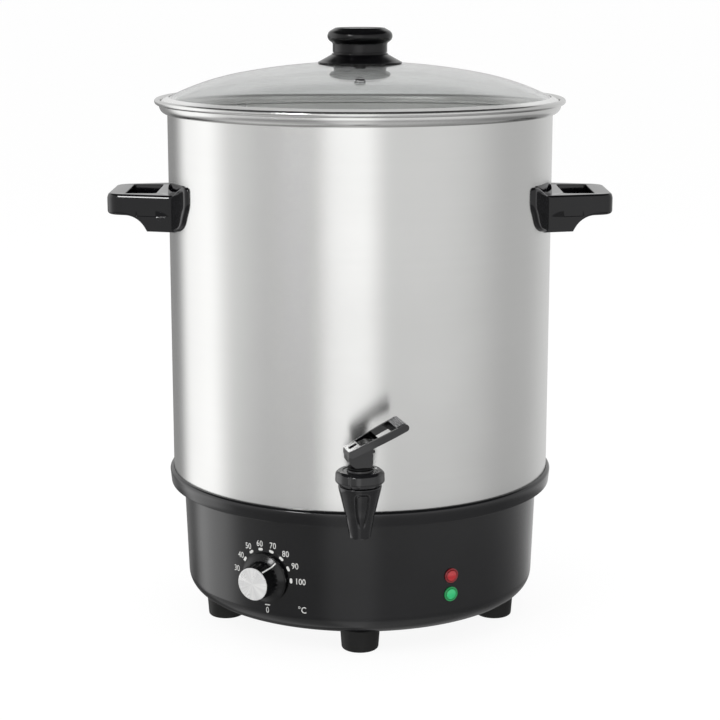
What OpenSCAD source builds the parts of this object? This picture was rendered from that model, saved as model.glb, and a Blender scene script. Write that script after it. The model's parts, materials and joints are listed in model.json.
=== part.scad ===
// Hot drink boiler: a steel drum on a black base, with a glass lid, two handles and a lever tap.
// The pot's axis is X = Y = 0, the feet stand on Z = 0 and the tap faces -Y.

/* [Pot] */
// Outer radius of the steel drum
pot_r = 171; // [160:1:182]
// Thickness of the drum's sheet
pot_wall = 1; // [0.8:0.1:1.5]
// Height of the rim bead's centre over the top of the base
pot_h = 331; // [290:1:380]
// Depth that the drum sinks into the collar of the base
pot_sink = 10; // [7:0.5:11]
// Radius of the drum's lower edge
pot_edge_r = 6; // [4:0.5:9]
// Radius of the rounded ledge that the lid sits in
cove_r = 7.2; // [6.5:0.1:9]
// Height of the rim bead's centre over the middle of the ledge's curve
bead_rise = 3.5; // [3:0.1:6]
// Radius of the rolled bead
bead_r = 2.5; // [2:0.1:3]

/* [Base] */
// Height of the base housing without its feet
base_h = 115; // [100:1:130]
// Wall of the base housing
base_wall = 3; // [2.5:0.1:4]
// Distance that the housing's wall stands back from the drum's, just under the collar
base_inset = 9.1; // [8:0.1:12]
// Amount that the housing narrows to its lower edge
base_taper = 3; // [1:0.1:6]
// Radius of the housing's lower edge
base_edge_r = 17.5; // [12:0.5:20]
// Width of the collar outside the drum
collar_w = 3.5; // [3:0.1:6]
// Height of the collar
collar_h = 13.5; // [13:0.5:20]
// Radius of the collar's top edge
collar_edge_r = 2.8; // [1:0.1:2.9]
// Gap between the feet and the edge of the bottom plate
plate_gap = 5.2; // [3:0.1:16]
// Amount that the bottom plate laps the housing's floor
service_lap = 10; // [8:0.5:12]
// Thickness of the bottom plate
plate_t = 1.2; // [1:0.1:2]
// Number of screws that hold the bottom plate
plate_screws = 3; // [3:1:6]

/* [Feet] */
// Number of feet
foot_count = 5; // [3:1:6]
// Distance from the housing's outside to the middle of a foot
foot_inset = 30.2; // [27:0.1:34]
// Height of a foot
foot_h = 20; // [16:0.5:26]
// Radius of a foot at its top
foot_r = 17.5; // [14:0.5:18]
// Amount that a foot narrows to the ground
foot_taper = 1.5; // [0:0.1:3]
// Radius of a foot screw's shank
foot_screw_r = 2; // [1.5:0.1:2.5]

/* [Lid] */
// Thickness of the lid's glass
glass_t = 4; // [3:0.1:5]
// Height of the glass's edge over the rim bead's centre
glass_edge_h = 0.1; // [-1:0.1:1.5]
// Radius of the dome's flat middle part
dome_r = 590; // [560:1:620]
// Width of the dome's steeper outer part
dome_skirt = 65.5; // [58:0.5:75]
// Radius of the dome's steeper outer part
shoulder_r = 231; // [225:1:240]
// Thickness of the steel ring around the glass
ring_t = 0.8; // [0.5:0.1:1]
// Clearance between the lid's ring and the rim's inside
lid_play = 0.8; // [0.5:0.1:1.5]
// Width of the ring's lip over the glass
ring_lip = 6.5; // [5:0.1:8]
// Widest radius of the lid's knob
knob_r = 28.8; // [26:0.1:32]
// Radius of the knob's neck
knob_neck_r = 24.2; // [21:0.1:25]
// Radius of the knob's skirt
knob_skirt_r = 37.3; // [35:0.1:40]
// Height of the knob over the glass's top
knob_h = 29.8; // [27:0.1:34]
// Radius of the knob's screw
knob_screw_r = 2.5; // [2:0.1:3]
// Distance of the steam vent from the lid's axis
vent_reach = 110; // [80:1:125]
// Radius of the steam vent's hole
vent_bore_r = 1.8; // [1.5:0.1:2.5]

/* [Handles] */
// Distance that a handle stands out from the drum
handle_out = 52.3; // [46:0.1:64]
// Height of a handle's top face over the base
handle_z = 251.7; // [200:0.1:290]
// Thickness of the grip
grip_t = 18.5; // [15:0.1:22]
// Depth of the handle next to the drum
web_h = 32; // [28:0.1:40]
// Half the handle's width at the outer end
handle_half = 44; // [40:0.5:50]
// Half the handle's width where it meets the drum
handle_root_half = 57; // [55:0.5:60]
// Radius of the handle's outer corners
handle_corner_r = 15; // [10:0.5:18]
// Width of the grip bar
grip_w = 16.3; // [14:0.1:20]
// Thickness of the bridge between the drum and the finger slot
bridge_w = 9; // [8:0.1:12]
// Half the length of the finger slot
slot_half = 35; // [30:0.5:36]
// Half the width of the flange that hugs the drum
flange_half = 90.5; // [86:0.5:96]
// Thickness of that flange
flange_t = 2; // [1.5:0.1:3]
// Height of the flange's ends over the handle's top face
flange_rise = 11.5; // [8:0.1:14]
// Thickness of the thin ears above the flange
ear_t = 1.2; // [1:0.1:1.4]
// Radius of a handle screw's shank
handle_screw_r = 2.5; // [2:0.1:3]
// Angle between a handle's middle and each of its screws
handle_screw_angle = 8; // [6:0.5:9]

/* [Tap] */
// Distance from the drum's wall to the tap's axis
tap_reach = 45; // [43:0.5:60]
// Height of the tap's shank over the base
shank_z = 23; // [20:0.5:40]
// Radius of the threaded shank
shank_r = 9; // [8:0.1:10]
// Radius of the water way through the shank
way_r = 5.5; // [4:0.1:6]
// Depth of the spout's mouth under the shank's axis
spout_drop = 31; // [28:0.5:40]
// Radius of the spout's mouth
spout_r = 8.7; // [8.2:0.1:9]
// Radius of the spout's bore
spout_bore_r = 6; // [5:0.1:6.2]
// Depth of the valve seat under the shank's axis
seat_drop = 7; // [6.5:0.1:8]
// Radius of the tap's chamber
chamber_r = 11; // [10.5:0.1:11.5]
// Radius of the body under the bonnet
body_top_r = 17.8; // [17:0.1:19]
// Height of the body's shoulder over the shank's axis
body_rise = 13; // [12.5:0.1:16]
// Height of the bonnet's visible rim
bonnet_h = 13.6; // [12.5:0.1:16]
// Widest radius of the bonnet
bonnet_r = 20.2; // [19.5:0.1:22]
// Radius of the tap's stem
stem_r = 4; // [3.5:0.1:4.2]
// Height of the swivel ring
swivel_h = 1.6; // [1.2:0.1:3]
// Radius of the swivel ring
swivel_r = 10.4; // [9.5:0.1:11]

/* [Lever] */
// Direction that the lever points to, turned from +X
lever_swing = 15; // [-60:1:30]
// Slope of the lever's arms when the tap is shut
lever_slope = 25.5; // [20:0.1:35]
// Length of the arms from the tap's axis
lever_length = 41; // [36:0.5:42]
// Thickness of the arms
arm_t = 6; // [5.5:0.1:8]
// Height of the arms' top edge over the pin, at the pin
arm_rise = 12.3; // [11.5:0.1:13]
// Half the lever's width at its hub
hub_half = 9.2; // [8.6:0.1:9.8]
// Half the lever's width at its tip
tip_half = 15; // [13:0.1:16]
// Distance from the pin to the cam's flat foot
cam_foot = 7.5; // [7:0.1:8.5]
// Rise of the stem for one radian of the lever's tilt
cam_rise = 3; // [2:0.1:3.2]
// Largest tilt of the lever
cam_tilt = 60; // [45:1:65]
// Radius of the lever's pin
pin_r = 1.6; // [1.4:0.1:2]

/* [Controls] */
// Direction of the dial, turned from the front
dial_turn = -30.6; // [-45:0.1:-25]
// Depth of the dial's axis under the top of the base
dial_drop = 68; // [60:0.1:72]
// Radius of the dial knob's skirt
dial_skirt_r = 22; // [18:0.1:24]
// Radius of the dial knob's grip at the silver cap
dial_grip_r = 14.9; // [13:0.1:16]
// Height of the dial knob with its cap
dial_h = 20.3; // [16:0.1:24]
// Number of grooves around the grip
dial_grooves = 24; // [12:2:30]
// Radius of the thermostat's shaft
shaft_r = 3; // [2.5:0.1:3.5]
// Direction of the two lamps, turned from the front
lamp_turn = 29.3; // [20:0.1:40]
// Depth of the red lamp under the top of the base
lamp_drop = 65.8; // [50:0.1:68]
// Distance between the two lamps
lamp_gap = 16.7; // [15:0.1:22]
// Radius of a lamp's lens
lens_r = 6.5; // [5.5:0.1:7]
// Depth of the cable gland under the top of the base
gland_drop = 82; // [70:1:90]
// Radius of the hole through the cable gland
gland_bore_r = 4; // [3:0.1:5]

/* [Heater] */
// Distance from the drum's flat floor's edge to the heat plate's
heat_plate_inset = 50; // [35:1:60]
// Thickness of the heat plate
heat_plate_t = 4; // [3:0.1:6]
// Distance from the heat plate's edge to the ring that the heating element makes
element_inset = 30; // [25:1:35]
// Radius of the heating element's tube
element_r = 4.2; // [3.5:0.1:5]
// Gap between the heat shield and the housing's wall
shield_gap = 8.2; // [5:0.1:14]
// Distance from the heat plate to the heat shield
shield_drop = 18; // [16:0.5:22]

/* [Hidden] */

$fn = 96;
// Gap between pieces that move past each other
run_gap = 0.3;
// Gap between pieces that are fixed to each other on curved faces
set_gap = 0.1;
// Running clearance of a shaft in its hole
shaft_gap = 0.05;
// Length that cuts run past a face
past = 1;

// Heights
base_z = foot_h;
joint_z = base_z + base_h;
floor_z = joint_z - pot_sink;
bead_z = joint_z + pot_h;
cove_z = bead_z - bead_rise;
dial_z = joint_z - dial_drop;
gland_z = joint_z - gland_drop;

// Radii of the rim and of the lid's ring
rim_in_r = pot_r + cove_r - pot_wall;
bead_ring_r = rim_in_r + bead_r;
ring_out_r = rim_in_r - lid_play;
ring_chamfer = 2.1;
ring_foot_r = ring_out_r - ring_chamfer;
ring_z = cove_z - sqrt(pow(cove_r - pot_wall - run_gap, 2) - pow(ring_foot_r - pot_r, 2));
glass_r = ring_out_r - ring_t - set_gap;

// Centres of the dome's two arcs, and the height of its top over a glass edge that seats in the ring
dome_reach = glass_r - dome_skirt;
shoulder_turn = asin(dome_reach / dome_r);
shoulder_x = dome_reach - shoulder_r * sin(shoulder_turn);
shoulder_drop = dome_r - (dome_r - shoulder_r) * cos(shoulder_turn);
dome_z = bead_z + glass_edge_h + shoulder_drop - sqrt(pow(shoulder_r, 2) - pow(glass_r - shoulder_x, 2));
shoulder_z = dome_z - shoulder_drop;

// Points on a round stretch of an outline
function arc(cx, cy, r, from, to, steps = 8) =
    [for (i = [0 : steps]) let (a = from + (to - from) * i / steps) [cx + r * cos(a), cy + r * sin(a)]];

// The same points from last to first
function turned(points) = [for (i = [len(points) - 1 : -1 : 0]) points[i]];

// Rectangle with four rounded corners
function round_rect(x0, x1, y0, y1, r) = concat(
    arc(x1 - r, y0 + r, r, -90, 0, 4), arc(x1 - r, y1 - r, r, 0, 90, 4),
    arc(x0 + r, y1 - r, r, 90, 180, 4), arc(x0 + r, y0 + r, r, 180, 270, 4));

// Radius of the housing's outside at a height, and the lean of its wall
base_top_r = pot_r - base_inset;
house_side = base_h - collar_h - base_edge_r;
wall_lean = atan(base_taper / house_side);
function house_r(z) = base_top_r - base_taper * (joint_z - collar_h - z) / house_side;

// Amount that a round wall falls back over half a chord
function bow(half, r) = r - sqrt(r * r - half * half);

// Places a child on the drum's side: its Z points outwards and its Y up
module on_drum(turn, r, z) {
    rotate([0, 0, turn]) translate([0, -r, z]) rotate([90, 0, 0]) children();
}

// Places a child on the housing's outside, square to the leaning wall, at a distance out from it
module on_wall(turn, z, out = 0) {
    rotate([0, 0, turn]) translate([0, -house_r(z), z]) rotate([90 + wall_lean, 0, 0])
        translate([0, 0, out]) children();
}

// Ring with a round hole
module tube(r, bore, h) {
    difference() {
        cylinder(r = r, h = h);
        translate([0, 0, -past]) cylinder(r = bore, h = h + 2 * past);
    }
}

// Hexagonal nut with a round hole
module hex_nut(flats, bore, h) {
    difference() {
        cylinder(d = flats / cos(30), h = h, $fn = 6);
        translate([0, 0, -past]) cylinder(r = bore, h = h + 2 * past);
    }
}

// Wire or tube through a list of points, with round bends wider than the wire
module wire(points, r) {
    for (i = [1 : len(points) - 1]) {
        d = points[i] - points[i - 1];
        translate(points[i - 1]) rotate([0, acos(d[2] / norm(d)), atan2(d[1], d[0])]) {
            cylinder(r = r, h = norm(d), $fn = 24);
            if (i > 1) sphere(r = 1.15 * r, $fn = 24);
        }
    }
}

// POT

// Outline of the drum's sheet, inside or outside
function pot_line(inset) = concat(
    arc(pot_r - pot_edge_r, floor_z + pot_edge_r, pot_edge_r - inset, -90, 0, 6),
    [[pot_r - inset, cove_z - sqrt(pow(cove_r - inset, 2) - pow(inset, 2))]],
    arc(pot_r, cove_z, cove_r - inset, -84, 0, 8),
    [[pot_r + cove_r - inset, bead_z]]);

module pot_shell() {
    color("silver") difference() {
        rotate_extrude($fn = 180) {
            polygon(concat([[0, floor_z]], pot_line(0),
                turned(pot_line(pot_wall)), [[0, floor_z + pot_wall]]));
            translate([bead_ring_r, bead_z]) circle(r = bead_r, $fn = 32);
        }
        on_drum(0, pot_r - 5, joint_z + shank_z) cylinder(r = shank_r + run_gap, h = 10);
        for (side = [-1, 1], i = [-1, 1])
            on_drum(side * (90 + i * handle_screw_angle), pot_r - 5, handle_screw_z)
                cylinder(r = handle_screw_r + set_gap, h = 10, $fn = 24);
    }
}

// BASE

bushing_r = shaft_r + 2;
lamp_bore_r = lens_r - 1.6;
lamp_flange = 1.2;
gland_r = gland_bore_r + 4;
foot_ring_r = base_top_r - base_taper - foot_inset;
plate_r = foot_ring_r - foot_r - plate_gap;
service_r = plate_r - service_lap;
plate_screw_ring = service_r + service_lap / 2;
plate_screw_r = 1.5;

function house_line(inset) = concat(
    arc(base_top_r - base_taper - base_edge_r, base_z + base_edge_r, base_edge_r - inset, -90, 0),
    [[base_top_r - inset, joint_z - collar_h + inset]]);

module base_housing() {
    collar_r = pot_r + collar_w;
    color("#2b2b2d") difference() {
        rotate_extrude($fn = 180) polygon(concat(
            [[service_r, base_z]],
            house_line(0),
            arc(collar_r - 2, joint_z - collar_h + 1, 1, -90, 0, 3),
            arc(collar_r - collar_edge_r, joint_z - collar_edge_r, collar_edge_r, 0, 90, 6),
            [[pot_r + run_gap, joint_z], [pot_r + run_gap, floor_z], [base_top_r - base_wall, floor_z]],
            turned(arc(base_top_r - base_taper - base_edge_r, base_z + base_edge_r,
                base_edge_r - base_wall, -90, 0)),
            [[service_r, base_z + base_wall]]));
        on_wall(dial_turn, dial_z, -2 * base_wall) cylinder(r = bushing_r + set_gap, h = 4 * base_wall);
        for (i = [0, 1]) on_wall(lamp_turn, joint_z - lamp_drop - i * lamp_gap, -2 * base_wall)
            cylinder(r = lamp_bore_r + set_gap, h = 4 * base_wall);
        on_wall(180, gland_z, -2 * base_wall) cylinder(r = gland_r + set_gap, h = 4 * base_wall);
        for (i = [1 : foot_count]) at_foot(i) cylinder(r = foot_screw_r + set_gap, h = base_z + 10, $fn = 32);
        for (i = [1 : plate_screws]) at_plate_screw(i)
            translate([0, 0, -past]) cylinder(r = plate_screw_r + set_gap, h = 10, $fn = 32);
    }
}

module at_foot(i) {
    rotate([0, 0, (i - 1) * 360 / foot_count]) translate([0, -foot_ring_r, 0]) children();
}

module at_plate_screw(i) {
    rotate([0, 0, 30 + i * 360 / plate_screws]) translate([0, plate_screw_ring, base_z]) children();
}

module bottom_plate() {
    color("lightgray") difference() {
        translate([0, 0, base_z - plate_t]) cylinder(r = plate_r, h = plate_t);
        for (i = [1 : plate_screws]) at_plate_screw(i)
            translate([0, 0, -plate_t - past])
                cylinder(r = plate_screw_r + set_gap, h = plate_t + 2 * past, $fn = 32);
        for (row = [-2 : 2]) translate([-30, row * 16 - 1.5, base_z - plate_t - past])
            cube([60, 3, plate_t + 2 * past]);
    }
}

module plate_screw(i) {
    color("gray") at_plate_screw(i) {
        translate([0, 0, -plate_t - 1.8]) cylinder(r1 = 2.4, r2 = 3.2, h = 1.8, $fn = 32);
        translate([0, 0, -plate_t]) cylinder(r = plate_screw_r, h = plate_t + base_wall + 3, $fn = 32);
    }
}

foot_sink_r = 4.6;
foot_sink_h = 7;

module foot(i) {
    color("#1a1a1a") at_foot(i) difference() {
        cylinder(r1 = foot_r - foot_taper, r2 = foot_r, h = foot_h);
        translate([0, 0, -past]) cylinder(r = foot_sink_r, h = foot_sink_h + past, $fn = 48);
        cylinder(r = foot_screw_r + set_gap, h = foot_h + past, $fn = 32);
    }
}

module foot_screw(i) {
    color("gray") at_foot(i) translate([0, 0, foot_sink_h - 2.6]) {
        cylinder(r1 = foot_sink_r - 1.2, r2 = foot_sink_r - 0.4, h = 2.6, $fn = 32);
        cylinder(r = foot_screw_r, h = foot_h - foot_sink_h + 2.6 + base_wall + 4, $fn = 32);
    }
}

// HEATER AND WIRING

heat_plate_r = pot_r - pot_edge_r - heat_plate_inset;
element_ring_r = heat_plate_r - element_inset;
plate_under_z = floor_z - heat_plate_t;
element_z = plate_under_z - element_r - set_gap;
shield_z = plate_under_z - shield_drop;
shield_r = house_r(shield_z) - base_wall - shield_gap;
element_gap_angle = 20;
lead_h = 40;
tag_t = 1;
tag_h = 10;
tag_z = element_z - lead_h - tag_h;
cutout_reach = 30;
cutout_r = 8;

module heat_plate() {
    color("darkgray") translate([0, 0, plate_under_z]) cylinder(r = heat_plate_r, h = heat_plate_t);
}

module heating_element() {
    color("dimgray") {
        translate([0, 0, element_z]) rotate([0, 0, -90 + element_gap_angle / 2])
            rotate_extrude(angle = 360 - element_gap_angle) translate([element_ring_r, 0])
                circle(r = element_r, $fn = 32);
        for (side = [-1, 1]) rotate([0, 0, side * element_gap_angle / 2])
            translate([0, -element_ring_r, element_z - lead_h]) {
                cylinder(r = element_r, h = lead_h, $fn = 32);
                translate([-3, -tag_t / 2, -tag_h]) cube([6, tag_t, tag_h]);
            }
    }
}

module heat_shield() {
    post_r = 4;
    post_ring = (element_ring_r + heat_plate_r) / 2;
    color("lightgray") difference() {
        union() {
            translate([0, 0, shield_z]) cylinder(r = shield_r, h = 1);
            for (i = [0 : 2]) rotate([0, 0, 60 + i * 120]) translate([0, post_ring, shield_z])
                cylinder(r = post_r, h = shield_drop, $fn = 32);
        }
        for (side = [-1, 1]) rotate([0, 0, side * element_gap_angle / 2])
            translate([0, -element_ring_r, shield_z - past]) cylinder(r = element_r + 1.5, h = 1 + 2 * past);
        translate([0, 0, shield_z - past]) cylinder(r = cutout_reach + cutout_r + 4, h = 1 + 2 * past);
    }
}

module thermal_cutout() {
    color("tan") translate([cutout_reach, 0, plate_under_z - 9]) {
        cylinder(r = cutout_r, h = 9);
        for (side = [-1, 1]) translate([side * cutout_r / 2 - 0.4, -3, -8]) cube([0.8, 6, 9]);
    }
}

bulb_r = 3;
bulb_half = 25;
bulb_y = 12;
bulb_z = plate_under_z - bulb_r - set_gap;

module sensor_bulb() {
    color("peru") {
        translate([-bulb_half, -bulb_y, bulb_z]) rotate([0, 90, 0]) cylinder(r = bulb_r, h = 2 * bulb_half);
        for (side = [-1, 1]) translate([side * bulb_half * 0.6 - 2, -bulb_y - 6, bulb_z - bulb_r - 1])
            difference() {
                cube([4, 12, 2 * bulb_r + 1 + set_gap]);
                translate([-past, 6, bulb_r + 1]) rotate([0, 90, 0])
                    cylinder(r = bulb_r - set_gap, h = 4 + 2 * past);
            }
    }
}

thermo_r = 20;
thermo_depth = 22;
thermo_face = base_wall + bow(thermo_r, house_r(dial_z) - base_wall) + run_gap;
tube_low_z = shield_z - 22;

module sensor_tube() {
    away = [sin(dial_turn) * cos(wall_lean), -cos(dial_turn) * cos(wall_lean), -sin(wall_lean)];
    plug = [sin(dial_turn) * house_r(dial_z), -cos(dial_turn) * house_r(dial_z), dial_z + 6]
        - away * (thermo_face + thermo_depth + set_gap);
    color("peru") wire([[-bulb_half - set_gap, -bulb_y, bulb_z], [-bulb_half - 8, -bulb_y, bulb_z],
        [-bulb_half - 10, -bulb_y - 6, tube_low_z], [-bulb_half - 20, -bulb_y - 38, tube_low_z],
        plug - away * 16, plug], 1.2);
}

module thermostat() {
    color("whitesmoke") on_wall(dial_turn, dial_z, -thermo_face) difference() {
        union() {
            translate([0, 0, -thermo_depth]) cylinder(r = thermo_r, h = thermo_depth);
            translate([0, 0, -1]) cylinder(r = bushing_r, h = thermo_face + 1);
            translate([-8, -13, -thermo_depth - 9]) cube([16, 1, 10]);
        }
        translate([0, 0, -thermo_depth + 6])
            cylinder(r = shaft_r + shaft_gap, h = thermo_depth + thermo_face);
    }
}

block_turn = 165;
block_r = service_r + 20;
block_pitch = 12;
block_half = 9;
block_foot = 4.5;
block_hole_z = base_z + base_wall + block_foot + 6;

module terminal_block() {
    color("ivory") rotate([0, 0, block_turn]) translate([0, -block_r, base_z + base_wall]) {
        for (i = [-1 : 1]) translate([i * block_pitch - 5, -block_half, block_foot - 0.5]) difference() {
            cube([10, 2 * block_half, 14]);
            translate([5, -past, 6.5]) rotate([-90, 0, 0])
                cylinder(r = 2, h = 2 * block_half + 2 * past, $fn = 24);
        }
        translate([-20, -10, 0]) cube([40, 20, block_foot]);
    }
}

// Point beside the terminal block: x runs along the block and y towards the pot's axis
function at_block(x, y) = let (out = y - block_r)
    [x * cos(block_turn) - out * sin(block_turn), x * sin(block_turn) + out * cos(block_turn), block_hole_z];

module wire_loom() {
    core_r = 1.5;
    beside = core_r + tag_t / 2 + set_gap;
    for (side = [-1, 1]) {
        tag_x = side * element_ring_r * sin(element_gap_angle / 2);
        tag_y = beside - element_ring_r * cos(element_gap_angle / 2);
        color(side > 0 ? "royalblue" : "sienna") wire([
            [tag_x, tag_y, tag_z + tag_h / 2], [tag_x, tag_y, tag_z - 8],
            [tag_x, tag_y + 20, block_hole_z], [side * (service_r - 30), 0, block_hole_z],
            at_block(-side * block_pitch, block_half + 20),
            at_block(-side * block_pitch, block_half + set_gap)], core_r);
    }
}

gland_flange = 4;
gland_in = 14;

module cable_gland() {
    color("#222222") on_wall(180, gland_z) difference() {
        union() {
            translate([0, 0, -base_wall - gland_in]) cylinder(r = gland_r, h = base_wall + gland_in + 1);
            translate([0, 0, set_gap]) cylinder(r = gland_r + 3.5, h = gland_flange);
            translate([0, 0, gland_flange - 1]) cylinder(r1 = gland_r + 1.5, r2 = gland_r - 1, h = 7);
        }
        translate([0, 0, -base_wall - gland_in - past]) cylinder(r = gland_bore_r, h = 50);
    }
}

module gland_nut() {
    half = gland_r + 3;
    nut_h = 6;
    seat = base_wall + bow(half / cos(30), house_r(gland_z) - base_wall) + set_gap;
    color("#222222") on_wall(180, gland_z, -seat - nut_h) hex_nut(2 * half, gland_r + shaft_gap, nut_h);
}

// LAMPS AND DIAL

module lamp_lens(drop, tint) {
    color(tint) on_wall(lamp_turn, joint_z - drop, set_gap) {
        cylinder(r = lens_r, h = lamp_flange);
        translate([0, 0, lamp_flange]) intersection() {
            translate([0, 0, -lens_r * 0.8]) sphere(r = lens_r * 1.2);
            cylinder(r = lens_r - 0.6, h = lens_r);
        }
    }
}

module lamp_body(drop) {
    deep = 20;
    color("gray") on_wall(lamp_turn, joint_z - drop, set_gap - deep) {
        cylinder(r = lamp_bore_r, h = deep);
        for (side = [-1, 1]) translate([side * 2.5 - 0.4, -1.5, -7]) cube([0.8, 3, 8]);
    }
}

dial_cap_t = 1;
dial_skirt_t = 2.6;
dial_slope_h = 5.2;
dial_rim_r = dial_skirt_r - 0.8;
dial_root_r = dial_grip_r + 1.1;
shaft_in = 12;
// Turn of the knob's line, at 80 on the scale
pointer_turn = -40;

module dial_shaft() {
    color("silver") on_wall(dial_turn, dial_z, -thermo_face - shaft_in)
        cylinder(r = shaft_r, h = thermo_face + shaft_in + run_gap + dial_h - 6);
}

// Outline of the ribbed grip at its foot, with a rib's middle at +Y
function grip_line() = [for (i = [0 : dial_grooves - 1], k = [[0.3, 0], [0.42, 1], [0.58, 1], [0.7, 0]])
    let (a = 90 + (i + k[0]) * 360 / dial_grooves, r = dial_root_r - k[1]) [r * cos(a), r * sin(a)]];

module dial_knob() {
    color("#1d1d1f") on_wall(dial_turn, dial_z, run_gap) difference() {
        union() {
            rotate_extrude() polygon([[0, 0], [dial_skirt_r, 0], [dial_skirt_r, dial_skirt_t - 0.8],
                [dial_rim_r, dial_skirt_t], [dial_root_r, dial_slope_h], [0, dial_slope_h]]);
            translate([0, 0, dial_slope_h - 0.5]) rotate([0, 0, pointer_turn])
                linear_extrude(dial_h - dial_cap_t - dial_slope_h + 0.5, scale = dial_grip_r / dial_root_r)
                    polygon(grip_line());
        }
        translate([0, 0, -past]) cylinder(r = shaft_r + shaft_gap, h = dial_h - 5.5 + past);
    }
}

module dial_cap() {
    color("#d8d8d8") on_wall(dial_turn, dial_z, run_gap) translate([0, 0, dial_h - dial_cap_t])
        cylinder(r = dial_grip_r - 0.5, h = dial_cap_t);
}

// White line down the grip and the skirt
module dial_pointer() {
    line_w = 1.2;
    line_t = 0.3;
    grip_h = dial_h - dial_cap_t - dial_slope_h;
    color("white") on_wall(dial_turn, dial_z, run_gap) rotate([0, 0, pointer_turn]) {
        translate([-line_w / 2, dial_root_r + 0.05, dial_slope_h + 0.1])
            rotate([atan2(dial_root_r - dial_grip_r, grip_h), 0, 0]) cube([line_w, line_t, grip_h - 0.6]);
        translate([-line_w / 2, dial_root_r, dial_slope_h + 0.1])
            rotate([-atan2(dial_slope_h - dial_skirt_t, dial_rim_r - dial_root_r), 0, 0])
                cube([line_w, dial_rim_r - dial_root_r - 0.3, line_t]);
    }
}

// LID

// Points along the dome's outside, moved out by an amount, from one radius to another
function dome_at(r, out) = r <= dome_reach ?
    dome_z - dome_r + sqrt(pow(dome_r + out, 2) - r * r) :
    shoulder_z + sqrt(pow(shoulder_r + out, 2) - pow(r - shoulder_x, 2));
function dome_line(out, from, to, steps = 28) =
    [for (i = [0 : steps]) let (r = from + (to - from) * i / steps) [r, dome_at(r, out)]];

module at_vent() {
    slope = vent_reach <= dome_reach ?
        asin(vent_reach / dome_r) : asin((vent_reach - shoulder_x) / shoulder_r);
    translate([0, -vent_reach, dome_at(vent_reach, 0)]) rotate([slope, 0, 0]) children();
}

vent_tube_r = vent_bore_r + 1.2;
vent_head_r = vent_bore_r + 3.4;

module lid_glass() {
    color([0.8, 0.85, 0.85, 0.35]) difference() {
        rotate_extrude($fn = 180) polygon(concat(
            dome_line(0, 0, glass_r), turned(dome_line(-glass_t, 0, glass_r))));
        translate([0, 0, dome_z - 2 * glass_t]) cylinder(r = knob_screw_r + 0.5, h = 3 * glass_t, $fn = 32);
        at_vent() translate([0, 0, -2 * glass_t])
            cylinder(r = vent_tube_r + set_gap, h = 4 * glass_t, $fn = 32);
    }
}

module lid_ring() {
    lip_r = ring_out_r - ring_lip;
    over = dome_line(set_gap + ring_t, lip_r, ring_out_r - ring_t, 4);
    color("silver") rotate_extrude($fn = 180) difference() {
        polygon(concat([[ring_foot_r, ring_z], [ring_out_r, ring_z + ring_chamfer]],
            [[ring_out_r, dome_at(ring_out_r, 0) - 0.6]], turned(over),
            [[lip_r, ring_z]]));
        polygon(concat(dome_line(set_gap, lip_r - past, glass_r + set_gap, 6),
            turned(dome_line(-glass_t - set_gap, lip_r - past, glass_r + set_gap, 6))));
        polygon(concat([[lip_r - past, ring_z + ring_t], [ring_foot_r - 0.3, ring_z + ring_t],
            [ring_out_r - ring_t, ring_z + ring_chamfer + 0.3]],
            [[ring_out_r - ring_t, dome_at(ring_out_r - ring_t, -glass_t - set_gap - ring_t)]],
            turned(dome_line(-glass_t - set_gap - ring_t, lip_r - past, ring_out_r - ring_t, 4))));
    }
}

knob_screw_deep = 15;
inlay_r = 20;
inlay_t = 1.2;

module lid_knob() {
    top = dome_z + knob_h;
    neck_low = dome_z + 7.2;
    skirt_z = dome_at(knob_skirt_r, 0) + set_gap;
    color("#1a1a1a") difference() {
        rotate_extrude() polygon(concat(
            [[0, dome_z + set_gap], [9, dome_z + set_gap], [12, dome_z + 5], [knob_skirt_r - 6, dome_z + 2.4],
             [knob_skirt_r - 1.4, skirt_z], [knob_skirt_r - 0.3, skirt_z],
             [knob_skirt_r, skirt_z + 0.6], [knob_neck_r + 0.5, neck_low - 0.4], [knob_neck_r, neck_low]],
            [[knob_neck_r - 0.7, neck_low + 0.3], [knob_neck_r - 0.7, neck_low + 1.1],
             [knob_neck_r, neck_low + 1.4]],
            [[knob_neck_r, top - 14]],
            arc(knob_r - 5.6, top - 7.2, 5.6, -50, 62, 8),
            [[knob_r - 6.6, top - 0.4], [inlay_r + 0.8, top], [0, top]]));
        translate([0, 0, top - inlay_t]) cylinder(r = inlay_r + set_gap, h = inlay_t + past);
        translate([0, 0, dome_z - past])
            cylinder(r = knob_screw_r + shaft_gap, h = knob_screw_deep + past, $fn = 32);
    }
}

module knob_inlay() {
    color("#242424") translate([0, 0, dome_z + knob_h - inlay_t]) cylinder(r = inlay_r, h = inlay_t - 0.3);
}

washer_t = 0.8;
screw_head_h = 2.3;

module knob_washer() {
    color("#222222") translate([0, 0, dome_z - glass_t - set_gap - washer_t])
        tube(7, knob_screw_r + set_gap, washer_t);
}

module knob_screw() {
    head_z = dome_z - glass_t - set_gap - washer_t;
    color("#333333") {
        translate([0, 0, head_z - screw_head_h]) cylinder(r1 = 4, r2 = 6.2, h = screw_head_h);
        translate([0, 0, head_z])
            cylinder(r = knob_screw_r, h = dome_z - head_z + knob_screw_deep - 1, $fn = 32);
    }
}

module steam_vent() {
    color("silver") at_vent() difference() {
        union() {
            translate([0, 0, -glass_t - 1.2]) cylinder(r = vent_tube_r, h = glass_t + 2.4, $fn = 48);
            translate([0, 0, set_gap]) cylinder(r1 = vent_head_r, r2 = vent_head_r - 1.4, h = 2);
            translate([0, 0, -glass_t - 1.2]) cylinder(r = vent_head_r - 0.6, h = 1);
        }
        translate([0, 0, -glass_t - 3]) cylinder(r = vent_bore_r, h = glass_t + 10, $fn = 48);
    }
}

// HANDLES

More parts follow.
